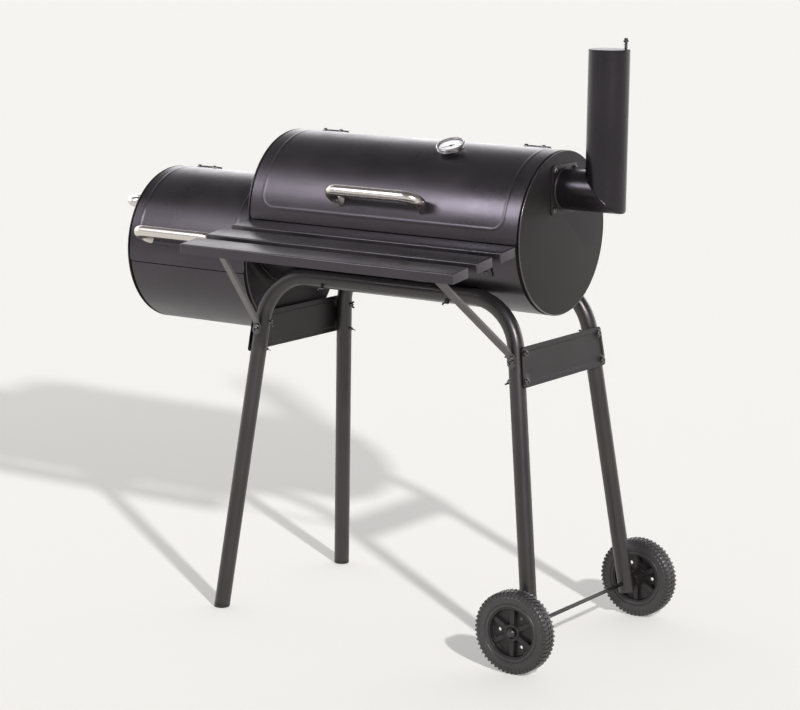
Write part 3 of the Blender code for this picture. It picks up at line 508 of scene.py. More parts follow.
def hex_nut(name, matrix, across=0.0085, height=0.0042, bolt=0.0025):
    """A chamfered hexagon nut with the end of its bolt."""
    rings = []
    for h, limit in ((0, 9), (height * 0.8, 9), (height, across * 0.53)):
        ring = []
        for x, y in circle(1.0):
            wedge = (atan2(y, x) + pi / 6) % (pi / 3) - pi / 6
            r = min(across / 2 / cos(wedge), limit)
            ring.append((r * x, r * y, h))
        rings.append(ring)
    rings += [level_ring(r, h) for r, h in (
        (bolt * 1.35, height), (bolt, height - 0.0006), (bolt, height + 0.0020),
        (bolt * 0.8, height + 0.0025), (0, height + 0.0025))]
    return loft(name, rings, caps=False, angle=30, matrix=matrix)


def wing_nut(name, matrix, size=0.72, turn=0.0):
    """A wing nut with its bolt's end, on the matrix's XY plane."""
    span = 0.026
    matrix = matrix @ spin(radians(turn)) @ Matrix.Scale(size, 4)
    boss = lathe(name + "_boss", rounded([(0.0062, 0, 0), (0.0062, 0.0015, 0.0005), (0.0046, 0.0080, 0.0010),
                                          (0.0026, 0.0080, 0), (0.0026, 0.0115, 0.0004), (0, 0.0115, 0)],
                                         segments=3), matrix, 32)
    wings = []
    for side in (-1, 1):
        outline = rounded([(0.0030, 0.0005, 0.001), (0.0075, 0.0035, 0.002), (span / 2, 0.0095, 0.003),
                           (span / 2 - 0.0005, 0.0175, 0.0032), (0.0085, 0.0150, 0.003),
                           (0.0030, 0.0078, 0.001)], closed=True, segments=4)
        flat = matrix @ spin(pi if side < 0 else 0) @ Matrix.Rotation(pi / 2, 4, "X")
        wings.append(plate(f"{name}_wing{side}", outline, 0.0022, flat, bevel=0.0005))
    return join(name, [boss, *wings])


# ---------------------------------------------------------------- barrels and lids
def grid_lines(start, end, zones, fine, coarse):
    """Positions from start to end, close together inside the zones."""
    lines = [start]
    while lines[-1] < end - fine / 2:
        here = lines[-1]
        step = coarse
        for a, b in zones:
            if a <= here + 1e-9 < b:
                step = fine
            elif here < a:
                step = min(step, max(a - here, fine))
        lines.append(min(here + step, end))
    return lines


def rib_height(x, s, rib):
    """Height of a pressed bead that follows a rounded rectangle on the unrolled sheet."""
    x0, x1, s0, s1, corner, half_width, tall = rib
    dx = abs(x - (x0 + x1) / 2) - (x1 - x0) / 2 + corner
    ds = abs(s - (s0 + s1) / 2) - (s1 - s0) / 2 + corner
    gap = hypot(max(dx, 0), max(ds, 0)) + min(max(dx, ds), 0) - corner
    share = gap / half_width
    return tall * (1 - share * share) ** 2 if abs(share) < 1 else 0.0


def rolled_sheet(name, x0, x1, axis_z, theta0, theta1, rib=None, corner=0.0):
    """A piece of rolled sheet, with a pressed rib and rounded front corners if they are given."""
    s0, s1 = radians(theta0) * BARREL_R, radians(theta1) * BARREL_R
    x_zones, s_zones = [], []
    if rib:
        reach, turn = 0.006, rib[4] + 0.002
        x_zones = [(rib[0] - reach, rib[0] + turn), (rib[1] - turn, rib[1] + reach)]
        s_zones = [(s0, s0 + corner), (rib[2] - reach, rib[2] + turn), (rib[3] - turn, rib[3] + reach)]
    xs = grid_lines(x0, x1, x_zones, 0.0011, 0.012)
    ss = grid_lines(s0, s1, s_zones, 0.0011, 0.0045)

    def surface(offset):
        rows = []
        for s in ss:
            theta = degrees(s / BARREL_R)
            inset = corner - sqrt(corner ** 2 - max(0.0, corner - (s - s0)) ** 2)
            row = []
            for x in xs:
                radius = BARREL_R + offset + (rib_height(x, s, rib) if rib else 0)
                row.append(on_barrel(min(max(x, x0 + inset), x1 - inset), theta, radius, axis_z))
            rows.append(row)
        return rows

    return slab(name, surface(0.0), surface(-SHEET))


def lid_angles(node, axis_z):
    """The angles of a lid's front and back edges, from its box."""
    front = degrees(asin((low(node).z - axis_z) / BARREL_R))
    back = degrees(acos((AXIS_Y - high(node).y) / BARREL_R))
    return front, back


def build_lid(name, node, axis_z, body, rib_start, rib_end, rib_bottom):
    """A lid whose rib starts and ends at places left of the main barrel's right end."""
    arc = radians(1) * BARREL_R
    rib = (MAIN_RIGHT - rib_start, MAIN_RIGHT - rib_end, rib_bottom * arc, RIB_TOP * arc, RIB_CORNER,
           RIB_HALF_WIDTH, RIB_HEIGHT)
    x0, x1 = low(node).x + LID_GAP, high(node).x - LID_GAP
    obj = rolled_sheet(name, x0, x1, axis_z, *lid_angles(node, axis_z), rib, LID_CORNER)
    keep(obj, body, BARREL_COAT, node)


def build_body(name, node, lid, axis_z):
    """The rest of a barrel's sheet, from just behind its lid round to the lid's front edge."""
    front, back = lid_angles(lid, axis_z)
    x0, x1 = low(node).x + BODY_GAP, high(node).x - BODY_GAP
    keep(rolled_sheet(name, x0, x1, axis_z, back + 1.5, 359.4 + front), ROOT, BARREL_COAT, node)


def end_plate(name, node, axis_z, outward, hole_r, *holes):
    """A pressed disc with a rounded edge, whose flange turns in under the barrel's sheet."""
    x = high(node).x if outward > 0 else low(node).x
    flange = BARREL_R - SHEET - 0.0008
    inner = BARREL_R - 0.0060 - SHEET
    matrix = axes((x, AXIS_Y, axis_z), X * outward, Z)
    profile = rounded([(0, 0, 0), (BARREL_R + 0.0002, 0, 0.0016), (BARREL_R + 0.0002, -0.0022, 0.0004),
                       (BARREL_R - 0.0060, -0.0022, 0), (BARREL_R - 0.0060, -0.0052, 0), (flange, -0.0052, 0),
                       (flange, -FLANGE_DEPTH, 0.0004), (inner, -FLANGE_DEPTH, 0.0004),
                       (inner, -SHEET, 0.0022), (0, -SHEET, 0)], segments=6)
    disc = drill(lathe(name, profile, matrix, 160), [axes((x, y, z), X, Z) for y, z in holes], hole_r, 64)
    bead = [(BARREL_R - 0.0012 + u, v - 0.0011) for u, v in circle(0.0014, 12)]
    keep(lathe(name + "_hem", bead, matrix, 160, loop=True), ROOT, HEM_COAT)
    keep(disc, ROOT, PLATE_COAT, node)


def build_barrels():
    build_lid("main_lid_panel", "main_lid_shell", MAIN_Z, "main_lid", 0.565, 0.036, 6.6)
    build_lid("firebox_lid_panel", "firebox_lid_shell", FIRE_Z, "firebox_lid", 0.866, 0.638, 8.0)
    build_body("main_barrel_panel", "main_barrel_shell", "main_lid_shell", MAIN_Z)
    build_body("firebox_panel", "firebox_shell", "firebox_lid_shell", FIRE_Z)

    doorway = (AXIS_Y, DOORWAY_Z)
    pipe = centre("chimney_flange")
    end_plate("main_end_left", "main_end_plate_left", MAIN_Z, -1, DOORWAY_R, doorway)
    end_plate("main_end_right", "main_end_plate_right", MAIN_Z, 1, 0.0349, (pipe.y, pipe.z))
    end_plate("firebox_end_right", "firebox_end_plate_right", FIRE_Z, 1, DOORWAY_R, doorway)
    end_plate("firebox_end_left", "firebox_end_plate_left", FIRE_Z, -1, VENT_HOLE_R,
              *[(p.y, p.z) for p in vent_holes(90)])


def vent_holes(start):
    """Middles of the three air holes about the vent's axis."""
    middle = centre("air_vent_shutter")
    turns = [radians(start + 120 * i) for i in range(3)]
    return [Vector((FIRE_LEFT, middle.y + 0.028 * cos(a), middle.z + 0.028 * sin(a))) for a in turns]


def build_vent():
    """The turning air disc with three holes, its rivet and its grip."""
    node = "air_vent_shutter"
    middle = centre(node)
    radius = (high(node).y - low(node).y) / 2
    face = 0.0018
    shape = rounded([(0.004, -0.0015, 0), (0.004, 0.0003, 0), (radius - 0.0003, 0.0003, 0.0003),
                     (radius, face, 0.0008), (0.010, face, 0.0010), (0.0085, 0.0027, 0.0008),
                     (0.0075, 0.0027, 0), (0.0070, 0.0042, 0.001), (0.0040, 0.0055, 0.002),
                     (0, 0.0056, 0)], segments=4)
    disc = lathe("vent_disc", shape, axes((FIRE_LEFT, middle.y, middle.z), -X, Z), 96)
    disc = drill(disc, [axes(p, X, Z) for p in vent_holes(30)], VENT_HOLE_R)
    outline = rounded([(-0.0007, 0, 0), (0.0125, 0, 0.002), (0.0125, 0.020, 0.002), (-0.0007, 0.020, 0)],
                      closed=True)
    grip = plate("vent_grip", outline, 0.0015,
                 shift(FIRE_LEFT - 0.0009, middle.y, middle.z - 0.046)
                 @ Matrix(((-1, 0, 0, 0), (0, 0, 1, 0), (0, 1, 0, 0), (0, 0, 0, 1))), bevel=0.0004)
    keep(join("air_vent_disc", [disc, grip]), "air_vent", PLATE_COAT, node)


# ---------------------------------------------------------------- handles
def smooth_step(t):
    t = min(max(t, 0.0), 1.0)
    return t * t * (3 - 2 * t)


def handle(name, node, body, feet, tops, land):
    """A chromed tube bent at both ends, each end squashed and folded where it meets the sheet."""
    path = bent_path([feet[0], tops[0], tops[1], feet[1]], HANDLE_BEND, 16)
    normal = (tops[1] - tops[0]).cross(tops[0] - feet[0]).normalized()
    fine = [path[0].lerp(path[1], t / 8) for t in range(8)] + path[1:-1]
    fine += [path[-2].lerp(path[-1], t / 8) for t in range(1, 9)]
    run = run_lengths(fine)

    def section(i):
        squash = smooth_step(1 - min(run[i], run[-1] - run[i]) / 0.024)
        shape = []
        for u, v in circle(HANDLE_R, 40):
            across = u / HANDLE_R
            if v < 0:
                v *= 1 - 0.55 * squash - 0.25 * squash * (1 - across * across)
            else:
                v *= 1 - 0.15 * squash
            shape.append((u * (1 + 0.14 * squash), v))
        return shape

    rings = swept_rings(fine, section, normal)
    for ring, inner in ((rings[0], rings[1]), (rings[-1], rings[-2])):
        ring[:] = [land(p, (p - q).normalized()) for p, q in zip(ring, inner)]
    keep(loft(name, rings), body, CHROME, node)


def land_on_barrel(axis_z):
    """Moves a point along a direction until it meets the barrel's surface."""
    def move(point, along):
        y, z = point.y - AXIS_Y, point.z - axis_z
        a = along.y ** 2 + along.z ** 2
        b = y * along.y + z * along.z
        c = y * y + z * z - (BARREL_R + 0.0002) ** 2
        root = sqrt(max(b * b - a * c, 0))
        steps = ((-b - root) / a, (-b + root) / a)
        return point + along * min(steps, key=abs)
    return move


def lid_handle(name, node, body, x, theta, axis_z):
    feet = [on_barrel(x + s * HANDLE_FOOT, theta, BARREL_R + 0.001, axis_z) for s in (-1, 1)]
    tops = [on_barrel(x + s * HANDLE_REACH, theta + HANDLE_TILT, BARREL_R + HANDLE_OUT, axis_z)
            for s in (-1, 1)]
    handle(name, node, body, feet, tops, land_on_barrel(axis_z))


def build_handles():
    lid_handle("main_lid_bar", "main_lid_handle", "main_lid", MAIN_MID, MAIN_HANDLE_THETA, MAIN_Z)
    lid_handle("firebox_lid_bar", "firebox_lid_handle", "firebox_lid", FIRE_MID, FIRE_HANDLE_THETA, FIRE_Z)
    node = "transport_handle"
    z = centre(node).z
    feet = [Vector((FIRE_LEFT - 0.001, AXIS_Y + s * HANDLE_FOOT, z)) for s in (-1, 1)]
    tops = [Vector((FIRE_LEFT - HANDLE_OUT, AXIS_Y + s * HANDLE_REACH, z)) for s in (-1, 1)]

    def land(point, along):
        return point + along * ((FIRE_LEFT - 0.0002 - point.x) / along.x)

    handle("transport_bar", node, ROOT, feet, tops, land)


# ---------------------------------------------------------------- hinges
def build_hinge(prefix, axis_z, lid_body):
    """A butt hinge on the outside of the sheet: two leaves, knuckles, pin and bolts."""
    x = centre(prefix + "_leaf_upper").x
    pin = centre(prefix + "_pin")
    theta = degrees(atan2(pin.z - axis_z, AXIS_Y - pin.y))
    knuckle, bore = 0.0037, 0.0017
    leaf_half, corner_r = 0.024, 0.004
    start, end = 0.0030, 0.0225
    for side, label, body, spans in ((-1, "upper", lid_body, [(-0.0080, 0.0080)]),
                                     (1, "lower", ROOT, [(-leaf_half, -0.0085), (0.0085, leaf_half)])):
        outer, inner = [], []
        for i in range(9):
            run = start + (end - start) * i / 8
            angle = theta + side * degrees(run / BARREL_R)
            corner = max(0.0, run - (end - corner_r))
            half = leaf_half - (corner_r - sqrt(max(corner_r ** 2 - corner ** 2, 0)))
            rise = max(0.0, 0.0055 - run) * 0.5
            for rows, lift in ((outer, 0.0017), (inner, 0.0004)):
                rows.append([on_barrel(x + half * t, angle, BARREL_R + lift + rise, axis_z)
                             for t in (-1, -.5, 0, .5, 1)])
        parts = [slab("leaf", outer, inner)]
        for a, b in spans:
            shape = rounded([(bore, 0, 0), (knuckle, 0, 0.0005), (knuckle, b - a, 0.0005), (bore, b - a, 0)])
            parts.append(lathe("knuckle", shape, axes((x + a, pin.y, pin.z), X, Z), 32, loop=True))
        angle = theta + side * degrees(0.0145 / BARREL_R)
        for offset in (-0.0185, 0.0185):
            at = on_barrel(x + offset, angle, BARREL_R + 0.0016, axis_z)
            parts.append(bolt_head("bolt", axes(at, radial(angle)), 0.0046, 0.0058))
            under = on_barrel(x + offset, angle, BARREL_R - SHEET - 0.0001, axis_z)
            parts.append(hex_nut("nut", axes(under, -radial(angle)), 0.0080, 0.0038, 0.0021))
        keep(join(f"{prefix}_{label}", parts), body, HARDWARE, f"{prefix}_leaf_{label}")
    half = leaf_half + 0.0010
    shape = rounded([(0, -0.0002, 0), (0.0028, -0.0002, 0.0008), (0.0028, 0.0010, 0), (0.0016, 0.0010, 0),
                     (0.0016, 2 * half, 0.0005), (0, 2 * half, 0)])
    obj = lathe(prefix + "_rod", shape, axes((x - half, pin.y, pin.z), X, Z), 32)
    keep(obj, ROOT, HARDWARE, prefix + "_pin")


def build_hinges():
    for side in ("left", "right"):
        build_hinge("main_hinge_" + side, MAIN_Z, "main_lid")
        build_hinge("firebox_hinge_" + side, FIRE_Z, "firebox_lid")


# ---------------------------------------------------------------- thermometer
def label(name, text, size, matrix):
    curve = bpy.data.curves.new(name, "FONT")
    curve.body, curve.size, curve.extrude = text, size, 0.00006
    curve.align_x = curve.align_y = "CENTER"
    return evaluated(placed(name, curve, matrix))


def build_thermometer():
    """A bezelled dial on a stem, with a printed scale, a needle and a glass."""
    case = centre("thermometer_glass")
    theta = degrees(atan2(case.z - MAIN_Z, AXIS_Y - case.y))
    matrix = axes(on_barrel(case.x, theta, BARREL_R + 0.0045, MAIN_Z), radial(theta), X)
    radius, rim = 0.0272, 0.0110
    well, neck, throat = radius - 0.0036, radius - 0.0026, radius - 0.0016
    shell = rounded([(0, 0.0016, 0), (well, 0.0016, 0.0006), (well, rim - 0.0012, 0.0004),
                     (radius - 0.0020, rim, 0.0009), (radius, rim - 0.0012, 0.0012),
                     (radius, rim - 0.0032, 0.0009), (neck, rim - 0.0042, 0.0004),
                     (neck, rim - 0.0056, 0.0004), (radius - 0.0008, rim - 0.0066, 0.0008),
                     (throat, 0.0016, 0.0012), (radius - 0.0045, 0, 0.0012), (0.0062, 0, 0.0003),
                     (0.0062, -0.0044, 0.0004), (0.0040, -0.0044, 0), (0.0040, -0.0100, 0.0003),
                     (0.0020, -0.0100, 0), (0.0020, -0.0610, 0.0008), (0, -0.0620, 0)], segments=5)
    under = axes(on_barrel(case.x, theta, BARREL_R - SHEET - 0.0001, MAIN_Z), -radial(theta))
    parts = [lathe("case", shell, matrix, 96), hex_nut("lock_nut", under, 0.0130, 0.0045, 0.0041)]
    keep(join("thermometer_body", parts), "main_lid", DIAL_STEEL, "thermometer_case")

    face, level = radius - 0.0039, 0.0058
    disc = lathe("dial", [(0, level), (face - 0.003, level), (face - 0.0026, level + 0.00025),
                          (face, level + 0.00025), (face, 0.0018), (0, 0.0018)], matrix, 96)
    keep(disc, "main_lid", DIAL_WHITE, "thermometer_dial")

    def on_dial(share, distance):
        """The direction at a share of the scale, and the place on it at a distance from the middle."""
        a = radians(220.0 - 250.0 * share)
        return a, matrix @ shift(distance * cos(a), distance * sin(a), level + 0.00006)

    ink_and_shade = []
    for i in range(31):
        long, wide = (0.0017, 0.00028) if i % 5 else (0.0030, 0.00050)
        a, spot = on_dial(i / 30, face - 0.0032 - long / 2)
        ink_and_shade.append(block("tick", (long, wide, 0.00018), spot @ spin(a), 0.00003))
    for i in range(7):
        ink_and_shade.append(label("number", str(50 + 50 * i), 0.0034, on_dial(i / 6, face - 0.0088)[1]))
    ring = [matrix @ Vector(p) for p in level_ring(face - 0.0030, level + 0.00008, 96)]
    arc = [ring[i % 96] for i in range(-8, 60)]
    ink_and_shade.append(rod("scale_arc", arc, 0.00012, matrix.col[2].to_3d(), 6))
    # The dark band round the dial's edge is painted shade and a painted dark reflection where the bezel meets
    # the dial.
    edge = [(face - 0.0010, level + 0.0015), (face, level + 0.0015), (face, level + 0.0001),
            (face - 0.0010, level + 0.0001)]
    ink_and_shade.append(lathe("ring", edge, matrix, 96, loop=True))
    keep(join("thermometer_scale", ink_and_shade), "main_lid", DIAL_INK_AND_SHADE)

    point = matrix @ shift(0, 0, level + 0.0009) @ spin(radians(40))
    outline = [(-0.0180, 0), (-0.0150, 0.00045), (0.0010, 0.0008), (0.0065, 0.0012), (0.0072, 0),
               (0.0065, -0.0012), (0.0010, -0.0008), (-0.0150, -0.00045)]
    arm = plate("arm", outline, 0.0005, point, bevel=0.0001)
    shape = rounded([(0, 0.0010, 0), (0.0026, 0.0009, 0.0004), (0.0028, -0.0004, 0), (0, -0.0004, 0)])
    hub = lathe("hub", shape, matrix @ shift(0, 0, level + 0.0007), 32)
    keep(join("thermometer_pointer", [arm, hub]), "dial_needle", NEEDLE_RED, "thermometer_needle")

    dome = [((radius - 0.0037) * sin(t), rim - 0.0016 + 0.0009 * cos(t * 1.5))
            for t in [i * pi / 16 for i in range(9)]]
    pane = lathe("thermometer_window", dome + [(r, h - 0.0012) for r, h in dome[::-1]], matrix, 96)
    keep(pane, "main_lid", LENS, "thermometer_glass").visible_shadow = False


# ---------------------------------------------------------------- chimney
def build_chimney():
    """A mitred elbow pipe with its weld, flange and screws."""
    smoke = centre("chimney_flange")
    pipe_low, pipe_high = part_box("chimney_pipe")
    radius = (pipe_high.y - pipe_low.y) / 2
    centre_x = pipe_high.x - radius
    x0 = pipe_low.x
    steps = 96

    def line(a, r):
        y, z = r * cos(a), r * sin(a)
        start = Vector((x0, smoke.y + y, smoke.z + z))
        corner = Vector((centre_x - z, smoke.y + y, smoke.z + z))
        end = Vector((centre_x - z, smoke.y + y, pipe_high.z))
        return bent_path([start, corner, end], 0.0009 + 0.0060 * max(0.0, -sin(a)) ** 4, 7)

    def skin(r):
        return [list(ring) for ring in zip(*(line(2 * pi * i / steps, r) for i in range(steps)))]

    pipe = loft("elbow", skin(radius) + skin(radius - 0.0015)[::-1], loop=True, angle=28)
    seam = []
    for y, z in [*circle(1.0, steps), (1.0, 0.0)]:
        r = radius + 0.0001 - 0.0016 * max(0.0, -z) ** 4
        seam.append(Vector((centre_x - r * z, smoke.y + radius * y, smoke.z + r * z)))
    keep(join("chimney_elbow", [pipe, rod("weld", seam, 0.0007, X, 10)]), ROOT, STACK_COAT, "chimney_pipe")

    thick, half = 0.002, 0.045
    matrix = axes((x0 + thick / 2, smoke.y, smoke.z), X, Y)
    outline = rectangle(-half, half, -half, half, 0.009, 6)
    flange = plate("flange", outline, thick, matrix, [circle(radius + 0.0003, 64)[::-1]], bevel=0.0006)
    collar = lathe("collar", rounded([(radius, 0.0009, 0), (radius + 0.0030, 0.0009, 0.0012),
                                      (radius + 0.0006, 0.0048, 0.0010), (radius, 0.0048, 0)]), matrix, 96)
    keep(join("chimney_base", [flange, collar]), ROOT, DAMPER_COAT, "chimney_flange")
    screws = []
    for i, (y, z) in enumerate(((-1, -1), (1, -1), (1, 1), (-1, 1))):
        at = Vector((x0 + thick, smoke.y + 0.035 * y, smoke.z + 0.035 * z))
        turned = axes(at, X, Z) @ spin(0.5 * i)
        screws.append(bolt_head("screw", turned, 0.0046, 0.0028, 0.0058))
        at.x = MAIN_RIGHT - SHEET - 0.0001
        screws.append(hex_nut("nut", axes(at, -X, Z), 0.0080, 0.0040, 0.0021))
    keep(join("chimney_screws", screws), ROOT, HARDWARE)


def build_damper():
    """The swivelling disc on the pipe's mouth, its strap, spring and ball nut."""
    low_corner, high_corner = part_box("chimney_damper")
    middle = (low_corner + high_corner) / 2
    radius = (high_corner.y - low_corner.y) / 2
    thick = high_corner.z - low_corner.z
    nut = centre("damper_nut")
    shape = rounded([(0, thick, 0), (radius - 0.0022, thick, 0.0004), (radius, thick - 0.0003, 0.0003),
                     (radius, 0, 0.0002), (0, 0, 0)], segments=4)
    disc = lathe("damper_disc", shape, shift(middle.x, middle.y, low_corner.z), 96)
    hole = shift(nut.x, nut.y, low_corner.z)
    keep(drill(disc, [hole], 0.0023, 32), "chimney_damper", DAMPER_COAT, "chimney_damper")

    z, top = (corner.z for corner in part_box("damper_pivot"))
    turn = spin(atan2(nut.y - middle.y, nut.x - middle.x))
    strap = block("strap", (0.013, 0.012, 0.0015),
                  shift(nut.x - 0.0015, nut.y, z + 0.00095) @ turn, 0.0004)
    z += 0.0002
    half_pitch = 0.00035
    count = int((top - z) / half_pitch)
    threads = [(0.0019 if i % 2 else 0.0016, z + i * half_pitch) for i in range(count + 1)]
    profile = [(0, z - 0.0001), *threads, (0, threads[-1][1] + 0.0002)]
    screw = lathe("screw", profile, shift(nut.x, nut.y, 0), 24, angle=80)
    keep(join("damper_screw", [strap, screw]), ROOT, HARDWARE, "damper_pivot")

    z, top = (corner.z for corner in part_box("damper_spring"))
    wire, coil, turns = 0.00062, 0.0034, 3.2
    path = []
    total = int(turns * 28)
    for i in range(total + 1):
        t = i / total
        a = 2 * pi * turns * t
        flat = 0.02 * (1 - smooth_step(min(t, 1 - t) * 6)) * (1 if t > 0.5 else -1)
        h = z + wire + (top - z - 2 * wire) * (t if 0.16 < t < 0.84 else t - flat)
        path.append(Vector((nut.x + coil * cos(a), nut.y + coil * sin(a), min(h, top - wire))))
    keep(rod("damper_coil", path, wire, Z, 12), ROOT, HARDWARE, "damper_spring")

    z, top = (corner.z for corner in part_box("damper_nut"))
    tall = top - z
    shape = rounded([(0.0021, 0.0002, 0), (0.0036, 0.0, 0.0006), (0.0049, tall * 0.24, 0.0016),
                     (0.0047, tall * 0.52, 0.0014), (0.0030, tall * 0.66, 0.0007),
                     (0.0037, tall * 0.80, 0.0009), (0.0028, tall * 0.99, 0.0014), (0, tall, 0)], segments=4)
    keep(lathe("damper_knob", shape, shift(nut.x, nut.y, z), 48), ROOT, HARDWARE, "damper_nut")


# ---------------------------------------------------------------- stand
RAIL_Z = high("front_leg_left").z - TUBE_R * cos(radians(15))
AXLE = centre("axle")


def leg_point(side, place, z):
    """A point on a leg's middle line; both legs of a side frame meet the rail at one depth."""
    foot = MOUNTS[place + "_foot"]
    inward = 1 if place == "front" else -1
    rail_y = foot.y + inward * Y_LEAN["left"] * RAIL_Z
    x = foot.x + LEAN["left"] * z if side == "left" else AXLE.x + LEAN["right"] * (z - AXLE.z)
    return Vector((x, rail_y - inward * Y_LEAN[side] * (RAIL_Z - z), z))


def build_leg(side, place):
    node = f"{place}_leg_{side}"
    sign, cut = (-1, 0.0022) if side == "left" else (1, 0.0027)
    corner = leg_point(side, place, RAIL_Z)
    seam = (MAIN_MID + sign * 0.0002, corner.y, RAIL_Z)
    path = bent_path([leg_point(side, place, low(node).z + cut), corner, seam], BEND_R, 26)
    obj = hollow(f"{place}_{side}_tube", path, TUBE_R, TUBE_WALL, Y, 48)
    keep(obj, ROOT, FRAME_COAT, node)


def build_joint_sleeve(place):
    """The thin line where the two halves of a rail meet, with its swaged end."""
    corner = leg_point("left", place, RAIL_Z)
    shape = rounded([(TUBE_R - 0.0010, -0.004, 0), (TUBE_R + 0.0002, -0.0006, 0.0004),
                     (TUBE_R + 0.0002, 0.0006, 0.0004), (TUBE_R - 0.0010, 0.004, 0)])
    obj = lathe(f"{place}_rail_joint", shape, axes((MAIN_MID, corner.y, corner.z), X, Z), 48, loop=True)
    keep(obj, ROOT, FRAME_COAT)


def build_foot(place):
    """A plastic plug in a left leg's end, cut level with the floor."""
    along = (leg_point("left", place, 0.1) - leg_point("left", place, 0.0)).normalized()
    end = leg_point("left", place, low(f"{place}_leg_left").z + 0.0022)
    matrix = axes(end, along, X)
    plug, rings = 0.0128, []
    for radius, lift in ((0.0, 0.0), (TUBE_R - 0.0022, 0.0), (TUBE_R - 0.0007, 0.0006), (TUBE_R, 0.0020)):
        ring = [matrix @ Vector(p) for p in level_ring(radius, 0)]
        rings.append([p - along * ((p.z - lift) / along.z) for p in ring])
    for spot in ((TUBE_R, -0.0003), (TUBE_R - 0.0006, 0.0), (plug, 0.0), (plug, 0.017), (0.0, 0.017)):
        rings.append([matrix @ Vector(p) for p in level_ring(*spot)])
    keep(loft(f"{place}_foot_plug", rings, caps=False), ROOT, FOOT_PLASTIC, f"foot_cap_{place}")


def build_cross_plate(side):
    """A pressed plate across a front and a back leg, with rounded corners and a raised field."""
    node = f"cross_plate_{side}"
    sign = -1 if side == "left" else 1
    z0, z1 = CROSS_Z
    thick = 0.0015
    middle = (z0 + z1) / 2
    bottom, top = leg_point(side, "front", z0), leg_point(side, "front", z1)
    up = Vector((top.x - bottom.x, 0, top.z - bottom.z)).normalized()
    out = Vector((up.z, 0, -up.x)) * sign
    origin = Vector((leg_point(side, "front", middle).x, AXIS_Y, middle)) + out * (TUBE_R + 0.0003)
    half = (z1 - z0) / 2
    wide, narrow = AXIS_Y - bottom.y + 0.010, AXIS_Y - top.y + 0.010
    corner = 0.0075
    vs = grid_lines(-half, half, [(-half, -half + 0.018), (half - 0.018, half)], 0.0009, 0.004)
    us = grid_lines(-1.0, 1.0, [(-1.0, -0.90), (0.90, 1.0)], 0.006, 0.05)

    def surface(offset):
        rows = []
        for v in vs:
            edge = max(0.0, corner - (half - abs(v)))
            reach = wide + (narrow - wide) * (v + half) / (2 * half)
            reach -= corner - sqrt(corner ** 2 - edge ** 2)
            row = []
            for u in us:
                y = u * reach
                inside = smooth_step((half - abs(v) - 0.0085) / 0.0024)
                inside *= smooth_step((reach - abs(y) - 0.0055) / 0.0024)
                boss = min(hypot(abs(y) - (reach - 0.011), abs(v) - 0.0250), 0.05)
                inside *= smooth_step((boss - 0.0085) / 0.0028)
                lift = offset + 0.0020 * (1 - inside)
                row.append(origin + Y * y + up * v + out * lift)
            rows.append(row)
        return rows

    obj = slab(f"{side}_cross_panel", surface(thick), surface(0.0), angle=60)
    keep(obj, ROOT, CROSS_COAT, node)
    bolts, nuts = [], []
    for place in ("front", "back"):
        for z in (0.5035, 0.5535):
            leg = leg_point(side, place, z)
            at = leg + out * (TUBE_R + 0.0003 + thick + 0.0020)
            bolts.append(bolt_head("bolt", axes(at, out, Y), 0.0058, 0.0034, 0.0068))
            under = axes(leg - out * (TUBE_R + 0.0001), -out, Z)
            nuts.append(wing_nut("nut", under, 0.60, 12 if z > middle else 62))
    keep(join(f"{side}_cross_bolts", bolts), ROOT, HARDWARE)
    keep(join(f"{side}_cross_wing_nuts", nuts), ROOT, HARDWARE)


def build_frame_bolts():
    """Bolts through the rails into the barrel, with wing nuts under the rails."""
    angle = radians(-42)
    parts = []
    for place, sign in (("front", 1), ("back", -1)):
        rail = leg_point("left", place, RAIL_Z)
        away = Vector((0, -sign * cos(angle), sin(angle)))
        for offset in RAIL_BOLTS:
            point = Vector((MAIN_RIGHT - offset, rail.y, rail.z))
            parts.append(wing_nut("nut", axes(point + away * (TUBE_R - 0.0004), away, X), turn=20))
    keep(join("rail_wing_nuts", parts), ROOT, HARDWARE)


def build_stand():
    for place in ("front", "back"):
        for side in ("left", "right"):
            build_leg(side, place)
        build_joint_sleeve(place)
        build_foot(place)
    for side in ("left", "right"):
        build_cross_plate(side)
    build_frame_bolts()


# ---------------------------------------------------------------- wheels
def build_tyre(name, node, matrix, body, radius, width):
    """A moulded tyre: two rows of blocks with a rib between, and notches at the sidewall's edge."""
    pitches = 54
    bore = 0.0475
    groove = 0.0024
    mid = width / 2

    def half(block):
        """The section from the bore to the middle rib, through a block (1) or a groove (0)."""
        top, side = radius - groove * (1 - block), -0.0011 * (1 - block)
        return [(bore, -0.0010), (bore + 0.0020, 0.0), (bore + 0.0042, 0.0), (bore + 0.0050, -0.0011),
                (bore + 0.0062, -0.0011), (bore + 0.0070, 0.0), (0.0640, 0.0), (0.0655, side),
                (top - 0.0020 - 0.0015 * block, side), (top - 0.0008, -0.0012 + side), (top, -0.0030),
                (top, -mid + 0.0032), (top - 0.0004, -mid + 0.0026), (radius - groove, -mid + 0.0024),
                (radius - groove, -mid + 0.0015), (radius - 0.0010, -mid + 0.0012)]

    rings = []
    stations = ((0.00, 0, 0), (0.05, 1, 0), (0.44, 1, 0), (0.50, 0, 0), (0.55, 0, 1), (0.94, 0, 1))
    for p in range(pitches):
        for share, near, far in stations:
            a = 2 * pi * (p + share) / pitches
            profile = half(near) + [(r, -width - h) for r, h in reversed(half(far))]
            rings.append([(r * cos(a), r * sin(a), h) for r, h in profile])
    keep(loft(name, rings, loop=True, angle=32, matrix=matrix), body, TYRE_PLASTIC, node)


